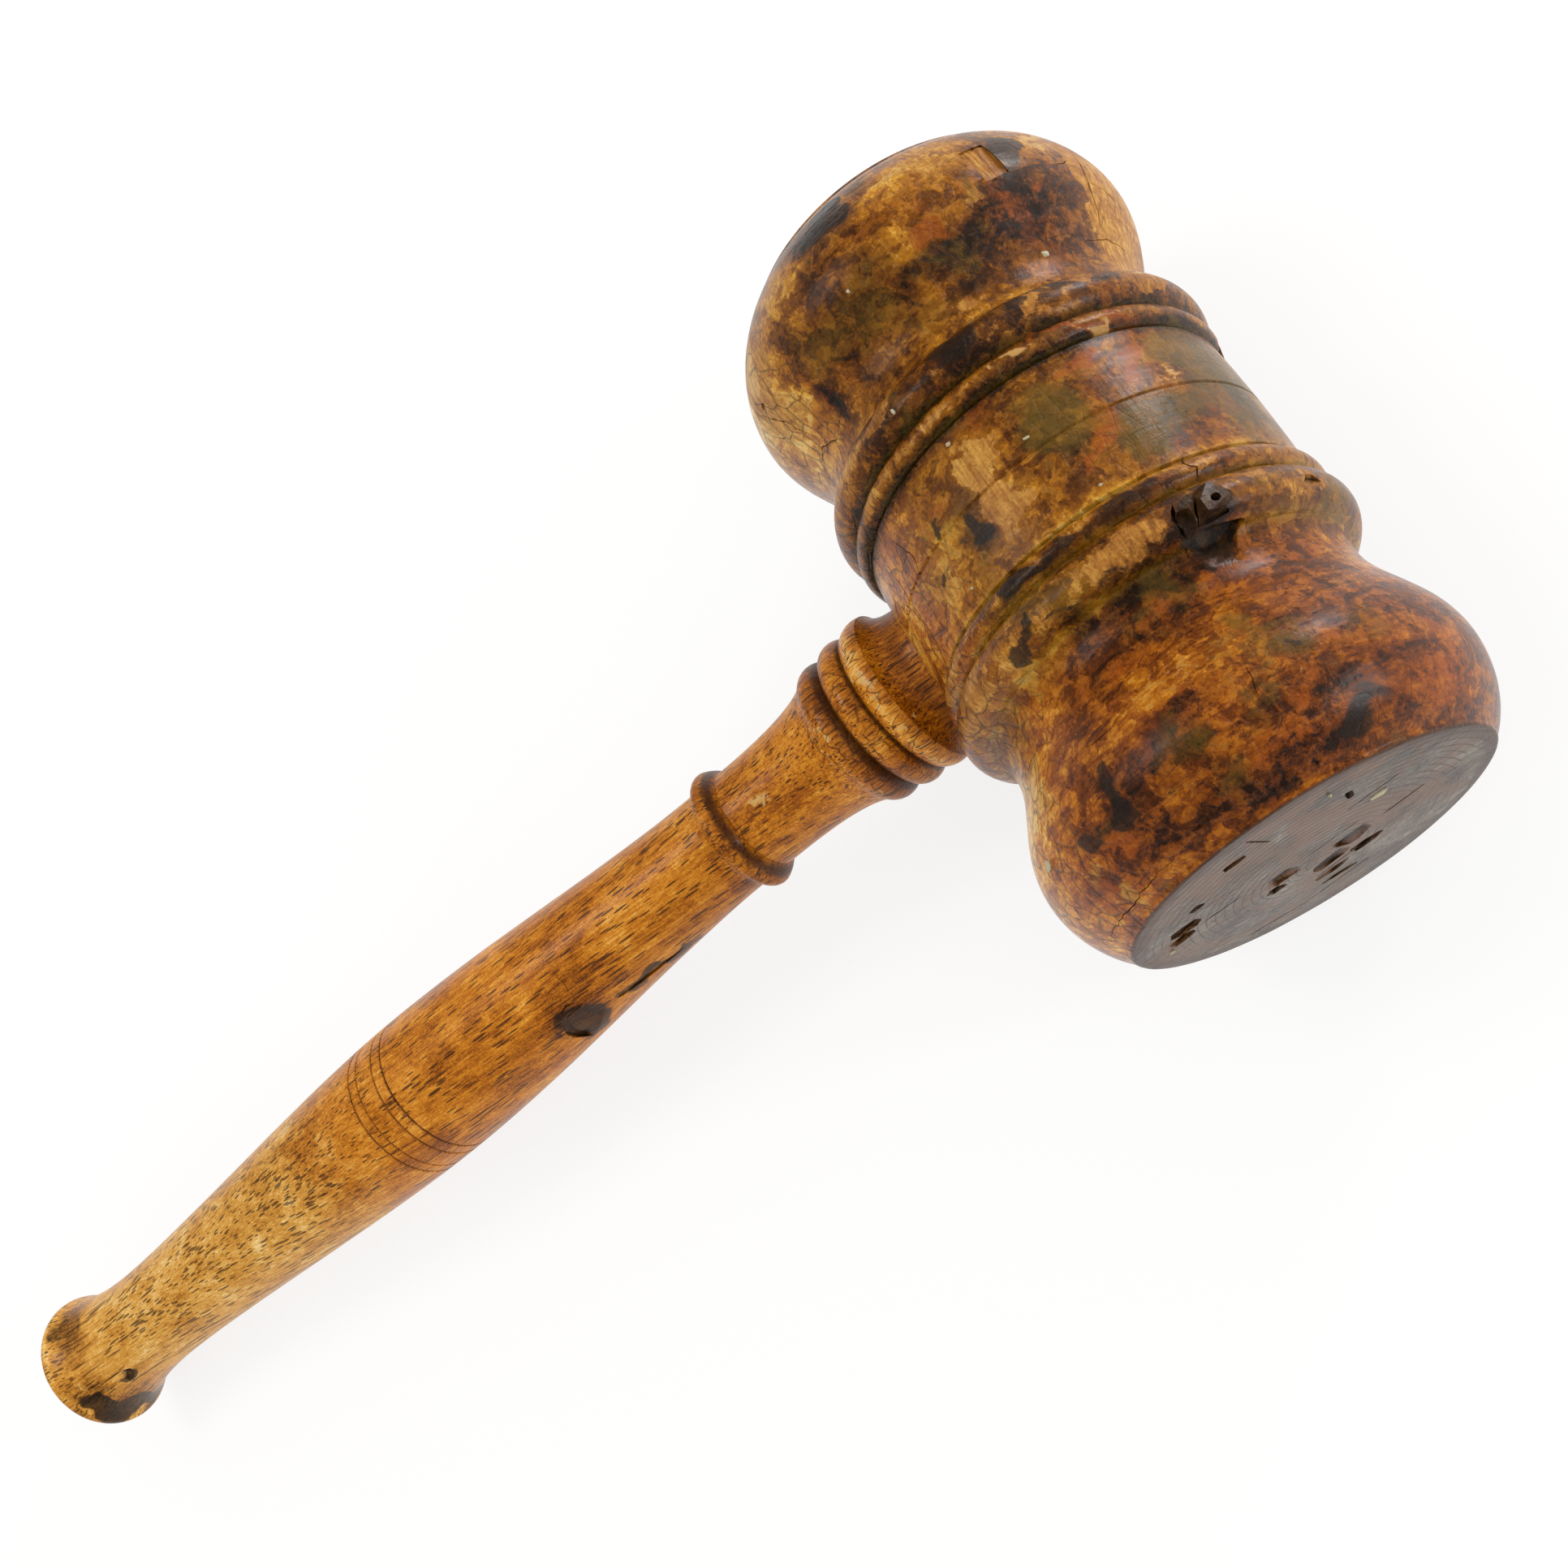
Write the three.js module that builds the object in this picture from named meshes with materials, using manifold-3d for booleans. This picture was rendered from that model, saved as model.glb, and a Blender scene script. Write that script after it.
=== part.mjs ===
// Turned two-faced carving mallet: one head block and one stick handle let into it.
// Millimetres, +Z up. The mallet lies on its side: both bulges of the head and the knob of the
// handle touch the floor plane z = 0. The head's axis runs along Y, the handle leaves toward -X.
// The origin is on the floor plane below the middle of the whole mallet.
import * as THREE from 'three';
import Module from 'manifold-3d';
import { mergeVertices } from 'three/addons/utils/BufferGeometryUtils.js';

// ---- head, lengths along its axis from the middle, radii from its axis
const HEAD_LENGTH = 138;        // striking face to striking face
const FACE_RADIUS = 32.2;       // flat part of a striking face
const FACE_EDGE = 1.0;          // worn round at the rim of a face
const BULGE_RADIUS = 40;
const BULGE_FROM_FACE = 15.8;
const NECK_RADIUS = 33.4;       // waist between a bulge and its beads
const NECK_AT = 32.0;
const BAND_RADIUS = 36.3;       // plain band the handle enters, at its crown
const BAND_HALF_WIDTH = 13.5;
const BAND_FALL = 0.3;          // how much lower the band's edges lie than its crown
const BAND_GROOVE_AT = 14.0;    // groove between band and inner bead
const BAND_GROOVE_DEPTH = 1.0;  // this and the next four are taken from the band's crown
const INNER_BEAD_HEIGHT = 1.1;
const BEAD_GROOVE_AT = 18.8;    // groove between inner and outer bead
const BEAD_GROOVE_DEPTH = 0.3;
const OUTER_BEAD_HEIGHT = 1.9;
const OUTER_BEAD_CREST_AT = 24.1;
const OUTER_BEAD_EDGE_AT = 27.6;   // where the outer bead drops into the waist
const OUTER_BEAD_FOOT_DEPTH = 1.9;

// ---- handle, lengths along its axis from the band's crown, radii from its axis
const TENON_RADIUS = 13.2;
const TENON_DEPTH = 58;         // blind
const TENON_CHAMFER = 1.5;
const DISC_AT = 5.4;            // sharp edge of the disc that faces the head
const DISC_EDGE_RADIUS = 16.3;
const DISC_RADIUS = 16.6;
const SECOND_BEAD_RADIUS = 16.2;
const THIRD_BEAD_RADIUS = 15.5;
const BEAD_GROOVES = [15.1, 14.5, 14.0];   // radii after disc, second and third bead
const BEAD_PITCH = 5.8;
const SHANK_RADIUS = 11.1;      // slim place between the three beads and the single one
const SHANK_AT = 43.7;
const SINGLE_BEAD_AT = 50.5;
const SINGLE_BEAD_WIDTH = 6.0;
const SINGLE_BEAD_RADIUS = 13.5;
const GRIP_RADIUS = 16.5;
const GRIP_AT = 150.7;
const WRIST_RADIUS = 12.1;      // slim place before the knob
const WRIST_TO_BUTT = 29.5;
const KNOB_RADIUS = 16.5;
const KNOB_TO_BUTT = 4.5;
const HANDLE_REACH = 279.2;     // band's crown to butt

// ---- cut details and fits
const SCRIBE_WIDTH = 0.8;
const SCRIBE_DEPTH = 0.35;
const SCRIBED_RINGS = [-6.5, -3.5, 1.6, 4.2];   // from the thickest place of the grip
const BORE_CLEARANCE = 0.3;     // all round the tenon and past its end
const HEAD_SIDES = 44;
const HANDLE_SIDES = 32;

const { lerp } = THREE.MathUtils;
const p = (along, radius) => new THREE.Vector2(radius, along);

// Arc from a to b through the crest c, end points included.
function arc(a, c, b, steps) {
  const d = 2 * (a.x * (c.y - b.y) + c.x * (b.y - a.y) + b.x * (a.y - c.y));
  const [a2, c2, b2] = [a, c, b].map((q) => q.lengthSq());
  const m = new THREE.Vector2(
    (a2 * (c.y - b.y) + c2 * (b.y - a.y) + b2 * (a.y - c.y)) / d,
    (a2 * (b.x - c.x) + c2 * (a.x - b.x) + b2 * (c.x - a.x)) / d,
  );
  const turn = (q) => Math.atan2(q.y - m.y, q.x - m.x);
  const radius = m.distanceTo(a);
  const start = turn(a);
  const wrap = (t) => Math.atan2(Math.sin(t), Math.cos(t));
  const sweep = wrap(turn(c) - start) + wrap(turn(b) - turn(c));
  return Array.from({ length: steps + 1 }, (_, i) => {
    const t = start + (sweep * i) / steps;
    return new THREE.Vector2(m.x + radius * Math.cos(t), m.y + radius * Math.sin(t));
  });
}

const curve = (a, b, c, d, steps) => new THREE.CubicBezierCurve(a, b, c, d).getPoints(steps);

// Joins stretches end to end, dropping repeated points.
function join(...stretches) {
  const out = [];
  for (const q of stretches.flat()) {
    if (!out.length || out[out.length - 1].distanceTo(q) > 1e-4) out.push(q);
  }
  return out;
}

// Cuts a small V into an outline at one place along the axis.
function scribe(outline, at) {
  const radiusAt = (y) => {
    const i = outline.findIndex((q, k) => k && outline[k - 1].y <= y && q.y > y);
    const [a, b] = [outline[i - 1], outline[i]];
    return a.x + ((b.x - a.x) * (y - a.y)) / (b.y - a.y);
  };
  const half = SCRIBE_WIDTH / 2;
  const cut = [p(at - half, radiusAt(at - half)), p(at, radiusAt(at) - SCRIBE_DEPTH),
    p(at + half, radiusAt(at + half))];
  const kept = outline.filter((q) => Math.abs(q.y - at) > half + 0.05 || q.x < 1);
  const i = kept.findIndex((q) => q.y > at && q.x > 1);
  return [...kept.slice(0, i), ...cut, ...kept.slice(i)];
}

function toManifold(wasm, geometry) {
  const g = geometry.clone();
  g.deleteAttribute('normal');
  g.deleteAttribute('uv');
  const welded = mergeVertices(g, 1e-5);
  return new wasm.Manifold(new wasm.Mesh({
    numProp: 3,
    vertProperties: new Float32Array(welded.attributes.position.array),
    triVerts: new Uint32Array(welded.index.array),
  }));
}

function fromManifold(solid) {
  const mesh = solid.getMesh();
  const g = new THREE.BufferGeometry();
  g.setAttribute('position', new THREE.BufferAttribute(new Float32Array(mesh.vertProperties), 3));
  g.setIndex(new THREE.BufferAttribute(new Uint32Array(mesh.triVerts), 1));
  g.computeVertexNormals();
  return g;
}

// S-shaped stretch from a to b, level at both ends: the handles of the curve are shares of its length.
function sweep(a, b, first, second, steps) {
  const at = (share) => lerp(a.y, b.y, share);
  return curve(a, p(at(first), a.x), p(at(second), b.x), b, steps);
}

// ---- half of the head's outline, from the middle of the band out to a face
const halfLength = HEAD_LENGTH / 2;
const bulgeAt = halfLength - BULGE_FROM_FACE;
const rim = p(halfLength - FACE_EDGE, FACE_RADIUS + FACE_EDGE);
const bulge = p(bulgeAt, BULGE_RADIUS);
const neck = p(NECK_AT, NECK_RADIUS);
const bandEdge = p(BAND_HALF_WIDTH, BAND_RADIUS - BAND_FALL);
const bandGroove = p(BAND_GROOVE_AT, BAND_RADIUS - BAND_GROOVE_DEPTH);
const beadGroove = p(BEAD_GROOVE_AT, BAND_RADIUS - BEAD_GROOVE_DEPTH);
const beadFoot = p(OUTER_BEAD_EDGE_AT, BAND_RADIUS - OUTER_BEAD_FOOT_DEPTH);
const outerBeadRadius = BAND_RADIUS + OUTER_BEAD_HEIGHT;
const halfHead = join(
  [p(0, BAND_RADIUS - SCRIBE_DEPTH), p(SCRIBE_WIDTH / 2, BAND_RADIUS)],
  arc(p(-bandEdge.y, bandEdge.x), p(0, BAND_RADIUS), bandEdge, 6).filter((q) => q.y > SCRIBE_WIDTH / 2),
  arc(bandGroove, p((BAND_GROOVE_AT + BEAD_GROOVE_AT) / 2, BAND_RADIUS + INNER_BEAD_HEIGHT), beadGroove, 5),
  arc(beadGroove, p(OUTER_BEAD_CREST_AT, outerBeadRadius), beadFoot, 6),
  curve(beadFoot, p(lerp(beadFoot.y, neck.y, 0.25), neck.x),
    p(lerp(beadFoot.y, neck.y, 0.55), neck.x), neck, 2),
  sweep(neck, bulge, 0.35, 0.59, 7),
  curve(bulge, p(lerp(bulge.y, rim.y, 0.46), bulge.x),
    p(lerp(bulge.y, rim.y, 0.84), lerp(rim.x, bulge.x, 0.44)), rim, 7),
  [p(halfLength, FACE_RADIUS), p(halfLength, 0)],
);
const headOutline = [...halfHead.slice(1).reverse().map((q) => p(-q.y, q.x)), ...halfHead];

// ---- handle outline, tenon end to butt, lengths here from the head's axis
const crown = BAND_RADIUS;
const tenonEnd = crown - TENON_DEPTH;
const discEdge = p(crown + DISC_AT, DISC_EDGE_RADIUS);
const grooveAt = BEAD_GROOVES.map((radius, i) => p(discEdge.y + (i + 1) * BEAD_PITCH - 0.5, radius));
const shank = p(crown + SHANK_AT, SHANK_RADIUS);
const singleBead = crown + SINGLE_BEAD_AT;
const grip = p(crown + GRIP_AT, GRIP_RADIUS);
const buttAt = crown + HANDLE_REACH;
const wrist = p(buttAt - WRIST_TO_BUTT, WRIST_RADIUS);
const knobAt = buttAt - KNOB_TO_BUTT;
const knobStart = p(knobAt - 1.2, KNOB_RADIUS - 0.4);
const knobEnd = p(knobAt + KNOB_TO_BUTT * 0.3, KNOB_RADIUS - 0.8);
const beadArc = (a, crest, b) => arc(a, p((a.y + b.y) / 2, crest), b, 5);
let handleOutline = join(
  [p(tenonEnd, 0), p(tenonEnd, TENON_RADIUS - TENON_CHAMFER), p(tenonEnd + TENON_CHAMFER, TENON_RADIUS)],
  curve(p(crown, TENON_RADIUS), p(crown + DISC_AT * 0.43, TENON_RADIUS),
    p(crown + DISC_AT * 0.8, lerp(TENON_RADIUS, DISC_EDGE_RADIUS, 0.39)), discEdge, 4),
  arc(discEdge, p(discEdge.y + 1.9, DISC_RADIUS), grooveAt[0], 4),
  beadArc(grooveAt[0], SECOND_BEAD_RADIUS, grooveAt[1]),
  beadArc(grooveAt[1], THIRD_BEAD_RADIUS, grooveAt[2]),
  curve(grooveAt[2], p(lerp(grooveAt[2].y, shank.y, 0.15), 12.0),
    p(lerp(grooveAt[2].y, shank.y, 0.53), shank.x), shank, 6),
  beadArc(p(singleBead - SINGLE_BEAD_WIDTH / 2, SHANK_RADIUS), SINGLE_BEAD_RADIUS,
    p(singleBead + SINGLE_BEAD_WIDTH / 2, SHANK_RADIUS)),
  sweep(p(singleBead + SINGLE_BEAD_WIDTH / 2, SHANK_RADIUS), grip, 0.28, 0.62, 9),
  sweep(grip, wrist, 0.28, 0.76, 8),
  curve(wrist, p(lerp(wrist.y, knobAt, 0.6), wrist.x),
    p(lerp(wrist.y, knobAt, 0.84), lerp(wrist.x, KNOB_RADIUS, 0.52)), knobStart, 6),
  arc(knobStart, p(knobAt, KNOB_RADIUS), knobEnd, 3),
  curve(knobEnd, p(lerp(knobAt, buttAt, 0.71), KNOB_RADIUS * 0.7),
    p(buttAt, KNOB_RADIUS * 0.36), p(buttAt, 0), 6),
);
for (const along of SCRIBED_RINGS) handleOutline = scribe(handleOutline, grip.y + along);

// ---- resting place: the head's widest rings and the knob come down to one plane
const headRest = Math.max(BULGE_RADIUS, outerBeadRadius);
const reach = Math.hypot(knobAt, KNOB_RADIUS);
const tilt = Math.asin(headRest / reach) - Math.atan2(KNOB_RADIUS, knobAt);
const layDown = (g) => g.rotateZ(Math.PI / 2).rotateY(-tilt).translate(0, 0, headRest);

const wasm = await Module();
wasm.setup();

const headBlock = new THREE.LatheGeometry(headOutline, HEAD_SIDES).translate(0, 0, headRest);
const boreLength = TENON_DEPTH + BORE_CLEARANCE + BAND_RADIUS;
const bore = layDown(new THREE.CylinderGeometry(TENON_RADIUS + BORE_CLEARANCE, TENON_RADIUS + BORE_CLEARANCE,
  boreLength, HANDLE_SIDES).translate(0, tenonEnd - BORE_CLEARANCE + boreLength / 2, 0));
const headGeometry = fromManifold(toManifold(wasm, headBlock).subtract(toManifold(wasm, bore)));
const handleStick = layDown(new THREE.LatheGeometry(handleOutline, HANDLE_SIDES));
const handleGeometry = fromManifold(toManifold(wasm, handleStick));

const group = new THREE.Group();
function add(name, geometry, color, roughness) {
  const mesh = new THREE.Mesh(geometry, new THREE.MeshStandardMaterial({ color, roughness, metalness: 0 }));
  mesh.name = name;
  group.add(mesh);
}
add('head', headGeometry, 0x8a5a2e, 0.45);
add('handle', handleGeometry, 0xb9792f, 0.5);

// The origin goes below the middle of the mallet's whole length.
const whole = new THREE.Box3().setFromObject(group, true);
for (const mesh of group.children) mesh.position.x = -(whole.min.x + whole.max.x) / 2;

export default group;
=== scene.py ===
"""Turned two-faced carving mallet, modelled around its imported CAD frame, in metres."""

import math
import random

import bpy
import numpy as np
from bpy.props import FloatProperty, FloatVectorProperty, PointerProperty
from mathutils import Matrix, Vector, noise


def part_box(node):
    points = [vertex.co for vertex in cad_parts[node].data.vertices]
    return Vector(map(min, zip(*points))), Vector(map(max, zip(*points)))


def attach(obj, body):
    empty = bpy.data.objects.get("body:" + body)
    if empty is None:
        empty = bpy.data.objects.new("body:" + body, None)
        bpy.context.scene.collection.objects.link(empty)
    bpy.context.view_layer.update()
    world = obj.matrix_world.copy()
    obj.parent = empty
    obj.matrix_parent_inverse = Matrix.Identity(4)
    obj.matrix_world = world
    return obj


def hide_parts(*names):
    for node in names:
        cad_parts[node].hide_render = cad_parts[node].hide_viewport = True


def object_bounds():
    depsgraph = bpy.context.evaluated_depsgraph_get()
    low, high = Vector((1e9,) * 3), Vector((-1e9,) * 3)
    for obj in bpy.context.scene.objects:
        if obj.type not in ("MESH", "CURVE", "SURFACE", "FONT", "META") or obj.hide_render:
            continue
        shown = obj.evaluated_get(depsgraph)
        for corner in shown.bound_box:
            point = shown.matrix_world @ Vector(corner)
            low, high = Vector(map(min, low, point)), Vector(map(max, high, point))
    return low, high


bl_info = {
    "name": "Carving Mallet",
    "version": (1, 0, 0),
    "blender": (4, 5, 0),
    "location": "3D View > Sidebar > Mallet",
    "description": "Models a turned two-faced carving mallet around its CAD frame",
    "category": "Object",
}

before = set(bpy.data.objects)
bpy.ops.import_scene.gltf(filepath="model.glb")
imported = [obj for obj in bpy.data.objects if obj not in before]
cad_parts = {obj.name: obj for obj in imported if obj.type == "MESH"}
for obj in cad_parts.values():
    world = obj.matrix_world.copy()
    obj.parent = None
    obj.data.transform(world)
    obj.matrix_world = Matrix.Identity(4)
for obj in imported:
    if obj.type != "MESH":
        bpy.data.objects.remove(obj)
CAD_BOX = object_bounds()
MM = 0.001
TO_MM = 1000
CORE = 5 * MM                      # an outline nearer its axis than this is part of an end
HEAD_SIDES, HANDLE_SIDES, BORE_SIDES = 232, 120, 96
HEAD_CREASE, HANDLE_CREASE = math.radians(34), math.radians(40)   # sharper edges stay sharp
WHITE = (1, 1, 1, 1)
FLOOR_RADIUS = 4.0

# ---- what the frame gives: the head's box, and from it the head's axis and sizes
HEAD_LOW, HEAD_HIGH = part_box("head")
HEAD_CENTRE = (HEAD_LOW + HEAD_HIGH) / 2
HEAD_HALF_LENGTH = (HEAD_HIGH.y - HEAD_LOW.y) / 2
BULGE_RADIUS = (HEAD_HIGH.z - HEAD_LOW.z) / 2
NEAR = Vector((0, -1, 0))          # along the head's axis, towards the seen striking face
UP = Vector((0, 0, 1))

noise.seed_set(4)                  # so that the marks' ragged outlines are the same each run


def linear(hex_colour):
    """Turns an sRGB hex colour into the linear numbers that the nodes take."""
    parts = [int(hex_colour[i : i + 2], 16) / 255 for i in (1, 3, 5)]
    return [c / 12.92 if c <= 0.04045 else ((c + 0.055) / 1.055) ** 2.4 for c in parts]


def size(name, description, millimetres):
    """A length property whose default is given in millimetres."""
    return FloatProperty(
        name=name, description=description, default=millimetres * MM, min=0.0, unit="LENGTH"
    )


def tint(name, description, hex_colour):
    """A colour property whose default is given as sRGB hex."""
    return FloatVectorProperty(
        name=name, description=description, default=linear(hex_colour), size=3, min=0.0, max=1.0,
        subtype="COLOR",
    )


def turn_angle(name, description, degrees):
    """An angle property whose default is given in degrees."""
    return FloatProperty(
        name=name, description=description, default=math.radians(degrees), unit="ROTATION"
    )


class HeadSizes(bpy.types.PropertyGroup):
    """Sizes of the head block: places along its axis from the middle, radii from its axis."""

    face_radius: size("Face radius", "Flat part of a striking face", 32.2)
    face_edge: size("Face edge", "Worn round at the rim of a face", 1.0)
    bulge_from_face: size("Bulge from face", "Widest place of a bulge, from its face", 15.8)
    near_bulge_wear: size("Near bulge wear", "How much the near bulge is slimmer than the far one", 0.3)
    waist_radius: size("Waist radius", "Waist between a bulge and its beads", 33.4)
    waist_at: size("Waist place", "Place of the waist", 32.0)
    band_radius: size("Band radius", "Crown of the plain middle band", 36.3)
    band_half_width: size("Band half width", "Half of the middle band", 13.5)
    inner_bead_height: size("Inner bead height", "Inner bead over the band's crown", 1.1)
    outer_bead_height: size("Outer bead height", "Outer bead over the band's crown", 1.9)
    scribe_width: size("Scribed line width", "Width of a line cut with the skew's point", 0.7)
    scribe_depth: size("Scribed line depth", "Depth of a scribed line", 0.35)


class HandleSizes(bpy.types.PropertyGroup):
    """Sizes of the handle: places along its axis from the band's crown, radii from its axis."""

    tenon_radius: size("Tenon radius", "Round tenon let into the head", 13.2)
    tenon_depth: size("Tenon depth", "Blind depth of the tenon", 58.0)
    bore_clearance: size("Bore clearance", "Dark gap round the tenon", 0.3)
    disc_at: size("Disc place", "Sharp edge of the disc that faces the head", 5.4)
    shank_radius: size("Shank radius", "Slim place between the beads", 11.1)
    grip_radius: size("Grip radius", "Thickest place of the grip", 16.5)
    grip_at: size("Grip place", "Place of the grip's thickest part", 150.7)
    wrist_radius: size("Wrist radius", "Slim place before the knob", 12.1)
    wrist_to_butt: size("Wrist to butt", "Slim place to the end", 29.5)
    knob_radius: size("Knob radius", "Widest place of the knob", 16.5)
    knob_to_butt: size("Knob to butt", "Widest place of the knob to the end", 4.5)
    reach: size("Reach", "Band's crown to butt", 279.2)


class Finish(bpy.types.PropertyGroup):
    """Colours of the woods, the old varnish and the dirt."""

    # also painted as highlights on the head's crests, rims, far inner bead and band, and on the
    # handle's crests
    rubbed: tint("Rubbed wood", "Wood polished pale by handling", "#d3a964")
    rust: tint("Orange patch", "Varnish stained orange-red", "#96460a")
    olive: tint("Grime", "Green-brown grime in the grooves", "#604c13")
    soot: tint("Stain", "Ink and soot stains", "#1d150e")
    end_warm: tint("End grain warm", "Brown patches of the striking face", "#6f4c31")
    torn: tint("Torn wood", "Wood inside chips and cracks", "#3d2610")
    pore: tint("Beech pores", "Dark flecks and pores of the handle", "#43230a")
    grime: tint("Handle grime", "Dark red-brown dirt in the handle's grooves", "#3a1a04")
    paint: tint("Paint", "Old splashes of paint", "#bfb28e")


class Studio(bpy.types.PropertyGroup):
    """Camera and light."""

    azimuth: turn_angle("Azimuth", "Camera's turn about the vertical", 36.0)
    elevation: turn_angle("Elevation", "Camera's height above the horizon", 58.09)
    roll: turn_angle("Roll", "Camera's turn about its own line of sight", -69.44)
    distance: size("Distance", "Camera to the point that it looks at", 325.8)
    lens: FloatProperty(name="Lens", description="Focal length in millimetres", default=38.0, min=1.0)
    floor: tint("Floor", "Plain pale floor", "#fbfaf8")


# ---------------------------------------------------------------- outlines and turning


def arc(a, crest, b, step):
    """Points of the circle through a, crest and b, about one step apart."""
    ax, ay, cx, cy, bx, by = *a, *crest, *b
    d = 2 * (ax * (cy - by) + cx * (by - ay) + bx * (ay - cy))
    a2, c2, b2 = ax * ax + ay * ay, cx * cx + cy * cy, bx * bx + by * by
    mx = (a2 * (cy - by) + c2 * (by - ay) + b2 * (ay - cy)) / d
    my = (a2 * (bx - cx) + c2 * (ax - bx) + b2 * (cx - ax)) / d
    radius = math.hypot(ax - mx, ay - my)
    start = math.atan2(ay - my, ax - mx)
    first = math.remainder(math.atan2(cy - my, cx - mx) - start, math.tau)
    second = math.remainder(math.atan2(by - my, bx - mx) - start - first, math.tau)
    sweep = first + second
    count = max(4, round(abs(sweep) * radius / step))
    turns = [start + sweep * i / count for i in range(count + 1)]
    return [(mx + radius * math.cos(t), my + radius * math.sin(t)) for t in turns]


def curve(a, b, c, d, step):
    """Points of the cubic Bezier curve from a to d, about one step apart."""
    count = max(2, round(math.dist(a, d) / step))
    points = []
    for i in range(count + 1):
        t = i / count
        w = ((1 - t) ** 3, 3 * t * (1 - t) ** 2, 3 * t * t * (1 - t), t**3)
        points.append(tuple(sum(k * q[n] for k, q in zip(w, (a, b, c, d))) for n in (0, 1)))
    return points


def level(a, b, first, second, step):
    """S-shaped stretch from a to b that leaves and arrives level."""
    span = b[0] - a[0]
    return curve(a, (a[0] + first * span, a[1]), (a[0] + second * span, b[1]), b, step)


def straight(a, b, step):
    """Points of a straight stretch from a to b."""
    count = max(1, round(math.dist(a, b) / step))
    run, rise = b[0] - a[0], b[1] - a[1]
    return [(a[0] + run * i / count, a[1] + rise * i / count) for i in range(count + 1)]


def join(*stretches):
    """Joins stretches end to end, dropping repeated points."""
    outline = []
    for point in [q for stretch in stretches for q in stretch]:
        if not outline or math.dist(outline[-1], point) > 0.02 * MM:
            outline.append(point)
    return outline


def scribe(outline, at, width, depth):
    """Cuts a small V into an outline at one place along the axis."""
    radius = radius_at(outline, at)
    kept = [q for q in outline if abs(q[0] - at) > width / 2 or q[1] < CORE]
    cut = [(at - width / 2, radius), (at - width / 6, radius - depth * 0.8), (at, radius - depth)]
    cut += [(at + width / 6, radius - depth * 0.8), (at + width / 2, radius)]
    after = next(i for i, q in enumerate(kept) if q[0] > at and q[1] > CORE)
    return kept[:after] + cut + kept[after:]


def radius_at(outline, at):
    """Radius of an outline at one place along its axis."""
    for a, b in zip(outline, outline[1:]):
        if a[0] <= at <= b[0] and b[0] > a[0] and min(a[1], b[1]) > 1 * MM:
            return a[1] + (b[1] - a[1]) * (at - a[0]) / (b[0] - a[0])
    return outline[len(outline) // 2][1]


def head_outline(s):
    """The head's outline from the far face to the near one, as (place, radius)."""
    step = 1.0 * MM
    groove = (14.0 * MM, s.band_radius - 1.0 * MM)
    bead_groove = (18.8 * MM, s.band_radius - 0.4 * MM)
    foot = (27.6 * MM, s.band_radius - 1.9 * MM)
    waist = (s.waist_at, s.waist_radius)
    rim = (HEAD_HALF_LENGTH - s.face_edge, s.face_radius + s.face_edge)

    def half(bulge_radius):
        bulge = (HEAD_HALF_LENGTH - s.bulge_from_face, bulge_radius)
        to_rim = rim[0] - bulge[0]
        return join(
            arc((-s.band_half_width, s.band_radius - 0.3 * MM), (0, s.band_radius),
                (s.band_half_width, s.band_radius - 0.3 * MM), step)[13:],
            arc(groove, (16.4 * MM, s.band_radius + s.inner_bead_height), bead_groove, 0.4 * MM),
            arc(bead_groove, (24.1 * MM, s.band_radius + s.outer_bead_height), foot, 0.5 * MM),
            curve(foot, (28.6 * MM, s.waist_radius + 0.2 * MM), (30 * MM, s.waist_radius), waist,
                  0.5 * MM),
            level(waist, bulge, 0.35, 0.59, step),
            curve(bulge, (bulge[0] + 0.46 * to_rim, bulge[1]),
                  (bulge[0] + 0.84 * to_rim, rim[1] + 0.44 * (bulge[1] - rim[1])), rim, 0.8 * MM),
            arc(rim, (HEAD_HALF_LENGTH - 0.3 * s.face_edge, s.face_radius + 0.7 * s.face_edge),
                (HEAD_HALF_LENGTH, s.face_radius), 0.3 * MM),
            straight((HEAD_HALF_LENGTH, s.face_radius), (HEAD_HALF_LENGTH, 0), 1.2 * MM),
        )

    far = [(-a, r) for a, r in reversed(half(BULGE_RADIUS))]
    near = half(BULGE_RADIUS - s.near_bulge_wear)
    return scribe(join([q for q in far if q[0] < -0.2 * MM], [q for q in near if q[0] > 0.2 * MM]),
                  0.0, s.scribe_width, s.scribe_depth)


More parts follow.
